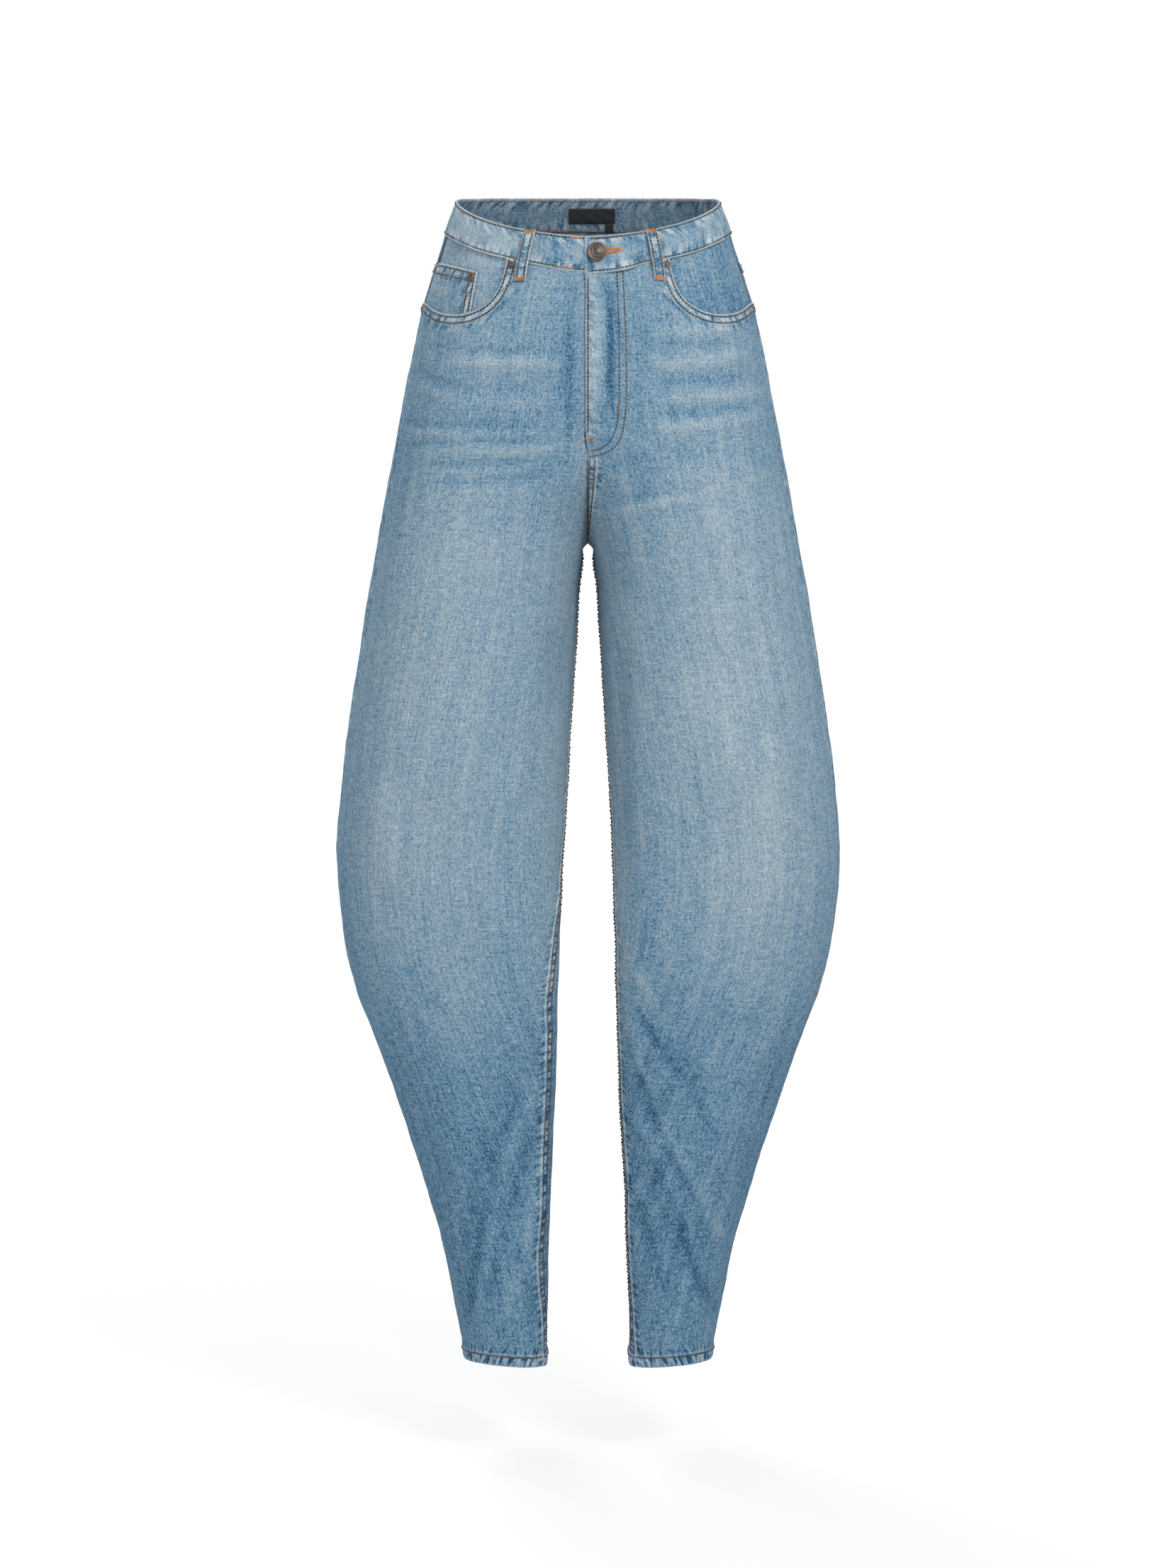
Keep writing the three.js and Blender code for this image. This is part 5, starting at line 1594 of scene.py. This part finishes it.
def cap(values, first, inward):
    """Closes one end of the strip with a rounded fold. It returns the values with the new points."""
    points, lightness, flat, seams = values
    ring_at = points[first : first + columns]
    ends = ring_at[np.argmin(v)], ring_at[np.argmax(v)]
    inner = np.stack([np.interp(v, [0, 1], [ends[0][c], ends[1][c]]) for c in range(3)], 1)
    push = inward / np.linalg.norm(inward)
    mid_ring = ring_at * 0.45 + inner * 0.55 + push * 0.5
    own = slice(first, first + columns)
    return (
        np.concatenate([points, mid_ring, [ring_at.mean(0) + push * 0.6]]),
        np.concatenate([lightness, lightness[own], [lightness[own].mean()]]),
        np.concatenate([flat, flat[own] + 1.0, [flat[first] + 2.0]]),
        np.concatenate([seams, seams[own], [seams[own].mean(0)]]),
    )


last = (rows - 1) * columns
first_cap = len(band_values[0])
band_values = cap(band_values, 0, band_points[0][0] - band_points[1][0])
last_cap = len(band_values[0])
band_values = cap(band_values, last, band_points[-1][0] - band_points[-2][0])
for j in range(columns):
    k = (j + 1) % columns
    faces.append([j, first_cap + j, first_cap + k, k])
    faces.append([first_cap + j, first_cap + columns, first_cap + k])
    faces.append([last + k, last_cap + k, last_cap + j, last + j])
    faces.append([last_cap + k, last_cap + columns, last_cap + j])
outward = np.concatenate(band_outward + [np.zeros((2 * columns + 2, 3))])
points, lightness, flat, seams = band_values
band = new_object("band", points, faces, DENIM, lightness, flat, outward, {"seam_edge": seams})
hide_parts("waistband")


def band_side(side, a, v, height):
    """One face of the band by arc length on its middle line and part of the height."""
    mid, rear = band_lengths(side)
    t = np.where(a < 0, 1 + a / mid, 1 + a / rear)
    return band_surface(side, a, t, v, height, lap_part(side, t * HALF_FRONT))


def on_band(side, a, v):
    """The band's outer face, with its hollows and puckers."""
    a = np.asarray(a, float)
    v = np.asarray(v, float)
    base, n = band_side(side, a, v, BAND_HALF)
    flat = base.reshape(-1, 3)
    middle_ring = np.array([p[5] for p in band_points])
    near = np.array([np.argmin(((middle_ring - q) ** 2).sum(1)) for q in flat[:: max(1, base.shape[-2])]])
    runs = band_runs[near].reshape(base.shape[:-2] + (1,)) if base.ndim > 2 else band_runs[near]
    return base + n * np.asarray(band_detail(runs + np.zeros(v.shape), v))[..., None], n


def in_band(side, a, v):
    """The band's inner face."""
    base, n = band_side(side, np.asarray(a, float), v, -BAND_HALF - 0.1)
    return base, -n


def band_row(kind, side, a0, a1, v, inside=False, **looks):
    """A row of stitches along the band at a part of its height."""
    count = max(2, int(abs(a1 - a0) / 2))
    line = np.stack([np.linspace(a0, a1, count), np.full(count, v * BAND_HIGH)], 1)
    face = in_band if inside else on_band
    stitch_row(kind, line, lambda a, z: face(side, a, z / BAND_HIGH), **looks)


for side in ("right", "left"):
    mid, rear = band_lengths(side)
    start = -mid + (1.6 if side == "right" else 0.6)
    for v in (BAND_TOP_ROW / BAND_HIGH, 1 - BAND_LOW_ROW / BAND_HIGH):
        band_row("brown", side, start, -0.4, v)
        band_row("brown", side, 0.4, rear - 0.2, v)
        band_row("orange", side, start + 34, -0.4, v, True, width=0.45, high=0.3)
        band_row("orange", side, 0.4, rear - 0.2, v, True, width=0.45, high=0.3)
# Short runs of orange thread near the button: side, ends in X, distance from the upper edge
for side, x0, x1, down in (
    ("right", 4, 14, BAND_TOP_ROW), ("right", 10, 27, BAND_HIGH - BAND_LOW_ROW),
    ("left", 46, 55, BAND_TOP_ROW), ("left", 50, 59, BAND_HIGH - BAND_LOW_ROW),
):
    a0, a1 = a_at(side, x0, BAND_LEVEL), a_at(side, x1, BAND_LEVEL)
    band_row("orange", side, a0, a1, down / BAND_HIGH, width=0.95, high=0.5)


# Belt loops: how high a loop stands off the shell along its length
LOOP_PROFILE = [
    (0, 0.5), (0.07, 0.8), (0.16, 2.2), (0.34, 3.6), (0.58, 3.8), (0.82, 2.9), (0.93, 1.8), (1, 1.5),
]
# A loop's width and thickness, and how far it runs down past the waist seam
LOOP_WIDTH = 10.4
LOOP_CLOTH = 1.6
LOOP_TAIL = 18.0
loop_height = smooth(LOOP_PROFILE, 1)


def loop_section():
    """The section across a loop: folded edges, a hollow beside each row, and a flat underside."""
    across = np.linspace(-1, 1, 15)
    side = np.abs(across)
    upper = LOOP_CLOTH - 0.55 * side**7 + 0.22 * ridge(side, 0.8, 0.12) - 0.3 * ridge(side, 0.62, 0.1)
    under = (0.35 * side**7)[::-1]
    wide = across * LOOP_WIDTH / 2
    return np.stack([np.concatenate([wide, wide[::-1]]), np.concatenate([upper, under])], 1)


LOOP_SECTION = loop_section()
LOOP_PARTS = np.linspace(0, 1, 46)


def belt_loop(name, side, x_top, x_low, back, rise):
    """A loop from below the band's seam to its upper edge, with its stitches and bars."""
    length = float(back_length(side, BAND_LEVEL) if back else front_length(side, BAND_LEVEL))
    z_top = float(waist_top(1 + a_at(side, x_top, BAND_LEVEL, back) / length)) + rise
    z_low = float(waist_seam(1 + a_at(side, x_low, BAND_LEVEL, back) / length)) - LOOP_TAIL
    long = z_top - z_low
    rings = []
    middle = []
    for part in LOOP_PARTS:
        z = z_low + long * part
        x = x_low + (x_top - x_low) * part
        a = float(back_length(side, z)) if abs(x) < 0.5 else a_at(side, x, z, back)
        centre, n = bare(side, a, z)
        across = np.cross([0, 0, 1], n)
        across /= np.linalg.norm(across)
        height = float(loop_height(part)) + 0.12 * float(uneven(part * 34 + x))
        squeeze = 1 - 0.35 * ridge(part, 0.035, 0.03) - 0.3 * ridge(part, 0.97, 0.025)
        end = 1 - 0.5 * ridge(part, 0, 0.012) - 0.5 * ridge(part, 1, 0.012)
        h = LOOP_SECTION[:, 1] * squeeze * end + (1 - end) * 0.4
        wide = LOOP_SECTION[:, 0] + 0.14 * float(uneven(part * 21 + 2 * x + 4))
        rings.append(centre + n * (height + h)[:, None] + across * wide[:, None])
        middle.append(np.concatenate([centre, n, across, [height]]))
    middle = np.array(middle)
    count = len(LOOP_SECTION)
    points = np.concatenate(rings)
    faces = ring_faces(len(rings), count)
    faces.append(list(range(count))[::-1])
    faces.append([(len(rings) - 1) * count + j for j in range(count)])
    run = np.repeat(LOOP_PARTS * long, count)
    lightness = np.full(len(points), 0.62) + 0.12 * rub(run * 0.9 + x_top)
    way = np.tile(LOOP_WIDTH / 2 - np.abs(LOOP_SECTION[:, 0]) + 0.3, len(rings))
    seams = {"seam_edge": np.stack([way, run + x_top, np.ones(len(points))], 1)}
    flat = np.stack([np.tile(np.arange(count) * 0.75, len(rings)), run], 1)
    outward = points - np.repeat(np.array([ring_of.mean(0) for ring_of in rings]), count, axis=0)
    item = new_object(name, points, faces, DENIM, lightness, flat, outward, seams)
    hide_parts(f"belt_{name}")

    def surface(up, wide):
        """Points on the loop, up along it and wide across it in mm."""
        part = np.asarray(up, float) / long
        wide = np.asarray(wide, float)
        at = np.stack([np.interp(part, LOOP_PARTS, column) for column in middle.T], -1)
        centre, n, across = at[..., 0:3], at[..., 3:6], at[..., 6:9]
        return centre + n * (at[..., 9:] + LOOP_CLOTH - 0.12) + across * wide[..., None], n

    for wide in (-3.3, 3.3):
        line = np.stack([np.linspace(0.060, 0.945, 30) * long, np.full(30, wide)], 1)
        stitch_row("brown", line, surface, 3.2)
    for end in (0.045, 0.955):
        for k in range(7):
            place = end * long + (k - 3) * 0.42
            line = np.array([(place - 0.12, -4.3), (place + 0.12, 4.3)])
            stitch_row("orange", line, surface, pitch=8.6, part=0.98, width=0.3, high=0.2, wander=0.0)


# Name, side, X of the top and of the foot, on the back or not, and the top's height above the band's edge
LOOPS = [
    ("loop_front_right", "right", 51.6, 61, False, 0.2),
    ("loop_front_left", "left", 56.3, 64.5, False, 0.2),
    ("loop_side_right", "right", 112, 121, True, -2.2),
    ("loop_side_left", "left", 112, 121, True, -2.2),
    ("loop_back", "left", 0, 0, True, -0.8),
]
for row in LOOPS:
    belt_loop(*row)


# Fly stitches in X and Z, and bars
J_INNER = [
    (25.7, -65.5), (27.4, -110), (28.2, -168.6), (25.7, -205), (20, -219), (10, -226.5), (-1.5, -229.5),
]
J_OUTER = [
    (30.8, -65.5), (33.2, -110), (34.6, -168.6), (31.6, -208), (24.5, -224), (12, -231.2), (-1.5, -233.8),
]
left = on_cloth("left")
for rows in (J_INNER, J_OUTER):
    line = to_arc("left", [row for row in curve_through(rows, 80) if row[0] > 0.3])
    stitch_row("brown", line, left, 3.3, width=0.6)
edge_z = np.arange(-74, -214, -2.0)
edge_line = np.stack([-front_length("left", edge_z) - LAP_EDGE + 2.4, edge_z], 1)
stitch_row("brown", edge_line, left, 3.2)
for inward, z, along, long, wide, count in (
    (1.4, -217.0, (1, -0.02), 9.0, 2.0, 14), (27.2, -190.0, (0.15, 1), 7.0, 1.8, 11),
):
    bartack("orange", (-float(front_length("left", z)) + inward, z), along, long, wide, left, count)


# Metal
def lathe(profile, sides, place, normal, name, node):
    """A round metal piece from its profile of radius and height."""
    normal = normal / np.linalg.norm(normal)
    side_way = np.cross(normal, [0, 0, 1])
    side_way /= np.linalg.norm(side_way)
    other = np.cross(side_way, normal)
    angle = np.linspace(0, 2 * np.pi, sides, endpoint=False)[:, None]
    spokes = np.cos(angle) * side_way + np.sin(angle) * other
    points = [place + normal * high + radius * spokes for radius, high in profile]
    points = np.concatenate(points + [[place + normal * profile[-1][1]]])
    faces = []
    for i in range(len(profile) - 1):
        for j in range(sides):
            k = (j + 1) % sides
            faces.append([i * sides + j, (i + 1) * sides + j, (i + 1) * sides + k, i * sides + k])
    last = (len(profile) - 1) * sides
    for j in range(sides):
        faces.append([last + j, last + sides, last + (j + 1) % sides])
    faces.append(list(range(sides))[::-1])
    outward = points - (place + normal * (profile[0][1] + profile[-1][1]) / 2)
    item = new_object(name, points, faces, METAL, None, None, outward)
    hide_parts(node)


def round_profile(rows, step=0.22):
    """A closely spaced profile with soft corners."""
    line = resample(rows, step)
    for _ in range(2):
        line[1:-1] = (line[:-2] + 2 * line[1:-1] + line[2:]) / 4
    return [tuple(p) for p in line[:-1] if p[0] > 0.05]


# Radius and height
BUTTON = [
    (0.2, 0), (3.5, 0), (3.6, 1.1), (7.6, 1.3), (8.5, 1.9), (8.65, 2.5), (8.3, 3.2), (7.5, 3.55),
    (6.9, 3.25), (6.1, 3.1), (5.7, 3.3), (5.3, 3.65), (4.4, 3.8), (4.0, 3.6), (3.6, 3.7),
    (2.0, 4.3), (0, 4.5),
]
RIVET = [
    (0.2, -0.6), (3.3, -0.6), (3.65, 0.1), (3.6, 0.5), (3.0, 1.05), (2.5, 1.1), (2.0, 0.85), (1.7, 0.9),
    (1.45, 1.5), (0.8, 1.75), (0, 1.75),
]


def seat(side, x, z, height, t=None):
    """A point and normal on the front at X, or at the waist station t where X can't be told."""
    a = a_at(side, x, z) if t is None else -(1 - t) * float(front_length(side, z))
    p, n = bare(side, a, z)
    return p + n * height, n


place, normal = seat("left", 7.9, -51.8, BAND_OUT + LAP_RAISE + 0.1)
lathe(round_profile(BUTTON), 64, place, normal, "button", "waist_button")
# Name, side, X and Z, height off the shell, and the waist station of those near the outseam
RIVETS = [
    ("mouth_inner_right", "right", 69, -62.2, 0.5, None),
    ("mouth_inner_left", "left", 70.5, -61.8, 0.5, None),
    ("mouth_outer_right", "right", 0, -99, 0.5, 0.965),
    ("mouth_outer_left", "left", 0, -99, 0.5, 0.965),
    ("coin_inner", "right", 106.8, -72.4, -1.4, None),
    ("coin_outer", "right", 0, -62, -1.4, 0.965),
]
for name, side, x, z, height, t in RIVETS:
    place, normal = seat(side, x, z, height, t)
    lathe(round_profile(RIVET), 36, place, normal, f"stud_{name}", f"rivet_{name}")


# The coin pocket lies on the right facing
coin_top = to_arc("right", [
    (x, COIN_TOP[1] + COIN_SLOPE * (x - COIN_TOP[0])) for x in np.linspace(COIN_TOP[0], COIN_REACH, 30)
])
coin_top = np.vstack([coin_top, [[-GAP / 2, coin_top[-1][1] + 0.6]]])
coin_side = to_arc("right", np.linspace(COIN_TOP, COIN_FOOT, 30))
outline = np.vstack([coin_top, [[-GAP / 2, COIN_FOOT[1]]], coin_side[::-1][:-1]])


def coin_fold(flat):
    hem_of = line_distance(flat, coin_top)
    edge_of = line_distance(flat, coin_side)
    fold = np.maximum(bank(hem_of, -2, 11.4, 1.3) * 0.45, bank(edge_of, -2, 8.4, 1.3) * 0.3)
    return fold + 0.18 * ridge(hem_of, 6, 5) * uneven(flat[:, 0] * 1.2)


COIN_OUT = -1.8
cut_piece(
    "small_pocket", "coin_pocket", "right", outline, 2.0, COIN_OUT, 0.12, thick=1.0,
    extra=coin_fold, mouth=np.vstack([coin_top[:-1][::-1], coin_side]),
)
on_coin = on_cloth("right", COIN_OUT, 0.4)
coin_middle = outline.mean(0)
for distance in (2.6, 9.4):
    stitch_row("brown", clip_line(line_toward(coin_top, coin_middle, distance), a_high=-2), on_coin, 3.2)
for distance in (2.4, 8.0):
    stitch_row("brown", line_toward(coin_side, coin_middle, distance), on_coin, 3.2)
bartack("orange", coin_side[0] + np.array([3.4, -3.6]), (0.2, -1), 6.5, 1.8, on_coin, 10)


# Bare patch and tab on the band's inside. Each face has its height off the shell and the way its edge is
# pinched.
TAG_FACES = ((-2.3, 1), (-3.1, -1))


def inside_tag(name, node, x_low, x_high, z_low, z_high):
    """A strip of tape with two faces inside the back of the band."""
    columns_of = np.linspace(x_low, x_high, max(4, int((x_high - x_low) / 1.2)))
    rows_of = np.linspace(z_low, z_high, max(4, int((z_high - z_low) / 1.0)))
    points = []
    for face_out, way in TAG_FACES:
        for z in rows_of:
            for x in columns_of:
                side_of = "left" if x >= 0 else "right"
                p, n = bare(side_of, a_at(side_of, abs(x), z, True), z)
                edge_of = min(x - x_low, x_high - x, z - z_low, z_high - z)
                curl = 0.125 * math.sin(x * 0.4 + z * 0.7)
                pinch = 0.3 * ridge(edge_of, 0, 0.5) * way
                points.append(p + n * (face_out + curl - pinch))
    c, r = len(columns_of), len(rows_of)
    faces = []
    for i in range(r - 1):
        for j in range(c - 1):
            front_face = [i * c + j, i * c + j + 1, (i + 1) * c + j + 1, (i + 1) * c + j]
            faces.append(front_face[::-1])
            faces.append([k + r * c for k in front_face])
    rim = [(j, j + 1) for j in range(c - 1)]
    rim += [(i * c + c - 1, (i + 1) * c + c - 1) for i in range(r - 1)]
    rim += [((r - 1) * c + j + 1, (r - 1) * c + j) for j in reversed(range(c - 1))]
    rim += [((i + 1) * c, i * c) for i in reversed(range(r - 1))]
    faces += [[a, b, b + r * c, a + r * c] for a, b in rim]
    item = new_object(name, points, faces, PATCH)
    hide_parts(node)


inside_tag("bare_patch", "neck_patch", -18, 25.5, -16.6, -3.2)
inside_tag("bare_tab", "size_tab", 16.5, 24, -25, -17)


# Buttonhole: dense orange stitches round a slit with a round end
SLIT = [(14.5, -48.6), (27.6, -48.8), (29.0, -49.4), (27.6, -50.4), (14.5, -54.0)]
slit = resample(SLIT, 0.42)
slit_way = np.gradient(slit, axis=0)
slit_way /= np.hypot(*slit_way.T)[:, None]


def band_place(x, z):
    """Arc length and part of the height of a spot on the lap, from X and Z."""
    a = -float(front_length("left", FRONT_LEVEL)) + x
    top, low = band_edges(x / HALF_FRONT, float(lap_part("left", x)))
    return a, (z - float(top)) / (float(low) - float(top))


for (x, z), (way_x, way_z) in zip(slit, slit_way):
    dx, dz = -way_z, way_x
    line = np.array([band_place(x - dx, z - dz), band_place(x + dx, z + dz)])
    p, n = on_band("left", line[:, 0], line[:, 1])
    centre = p[0] + (p[1] - p[0]) * STITCH_PLACES[:, None]
    centre = centre + n[0] * (0.5 * np.sin(np.pi * STITCH_PLACES)[:, None] - 0.05)
    direction = p[1] - p[0]
    direction /= max(np.linalg.norm(direction), 1e-9)
    rings = thread_rings(centre, np.cross(n[0], direction), n[0], np.full(STITCH_RINGS, 0.33))
    threads["orange"].append(rings.reshape(-1, 3))


# All threads of a kind become one piece
for kind, material in (("brown", BROWN), ("orange", ORANGE)):
    stack = np.concatenate(threads[kind])
    count = len(stack) // (STITCH_RINGS * STITCH_SIDES)
    item = new_object(f"thread_{kind}", stack, stitch_faces(count), material)


# Camera, light and floor
scene = bpy.context.scene
camera_data = bpy.data.cameras.new("camera")
camera_data.sensor_fit = "VERTICAL"
camera_data.sensor_height = 36.0
camera_data.lens = 99.1
camera_data.clip_end = 30.0
camera = bpy.data.objects.new("camera", camera_data)
camera.location = (0.0, -3.9848, -0.1884)
camera.rotation_euler = (math.radians(85), 0.0, 0.0)
scene.collection.objects.link(camera)
scene.camera = camera


def lamp(name, place, target, size, power):
    data = bpy.data.lights.new(name, "AREA")
    data.shape = "RECTANGLE"
    data.size, data.size_y = size
    data.energy = power
    item = bpy.data.objects.new(name, data)
    item.location = place
    item.rotation_euler = (Vector(target) - Vector(place)).to_track_quat("-Z", "Y").to_euler()
    scene.collection.objects.link(item)


centre = (0.0, 0.0, -0.5)
lamp("key", (1.5, -2.5, 1.7), centre, (1.0, 1.0), 62.0)
lamp("fill", (-2.2, -2.4, 0.2), centre, (2.0, 2.0), 18.0)
lamp("rear", (-1.2, 2.6, 1.5), centre, (1.4, 1.4), 60.0)

# The surroundings are white to the camera and a little dimmer as light.
world = bpy.data.worlds.new("world")
world.use_nodes = True
tree = world.node_tree
ground = tree.nodes["Background"]
ground.inputs["Color"].default_value = (1.0, 1.0, 1.0, 1.0)
seen = make(tree, "ShaderNodeLightPath").outputs["Is Camera Ray"]
strength = make(tree, "ShaderNodeMapRange", {"Value": seen, "To Min": 0.62, "To Max": 1.0})
tree.links.new(strength.outputs[0], ground.inputs["Strength"])
scene.world = world

# A round pale floor that fades out
FLOOR_RADIUS = 1.5
FLOOR_SIDES = 72
floor_material, tree, shader = new_material("floor")
shader.inputs["Base Color"].default_value = (0.93, 0.93, 0.93, 1.0)
shader.inputs["Roughness"].default_value = 0.9
far = make(tree, "ShaderNodeVectorMath", {0: object_place(tree)}, operation="LENGTH").outputs["Value"]
fade = make(
    tree, "ShaderNodeMapRange",
    {"Value": far, "From Min": 0.4, "From Max": FLOOR_RADIUS, "To Min": 0.3, "To Max": 0.0},
)
tree.links.new(fade.outputs[0], shader.inputs["Alpha"])
floor_mesh = bpy.data.meshes.new("floor")
angles = np.linspace(0, 2 * np.pi, FLOOR_SIDES, endpoint=False)
rim = [(FLOOR_RADIUS * math.cos(angle), FLOOR_RADIUS * math.sin(angle), 0.0) for angle in angles]
slices = [(0, k + 1, (k + 1) % FLOOR_SIDES + 1) for k in range(FLOOR_SIDES)]
floor_mesh.from_pydata([(0.0, 0.0, 0.0)] + rim, [], slices)
floor_mesh.materials.append(floor_material)
floor = bpy.data.objects.new("floor", floor_mesh)
floor.location = (0.0, 0.0, -1.16)
scene.collection.objects.link(floor)

scene.view_settings.view_transform = "Standard"
scene.view_settings.look = "None"
scene.view_settings.exposure = 0.0
scene.view_settings.gamma = 1.0
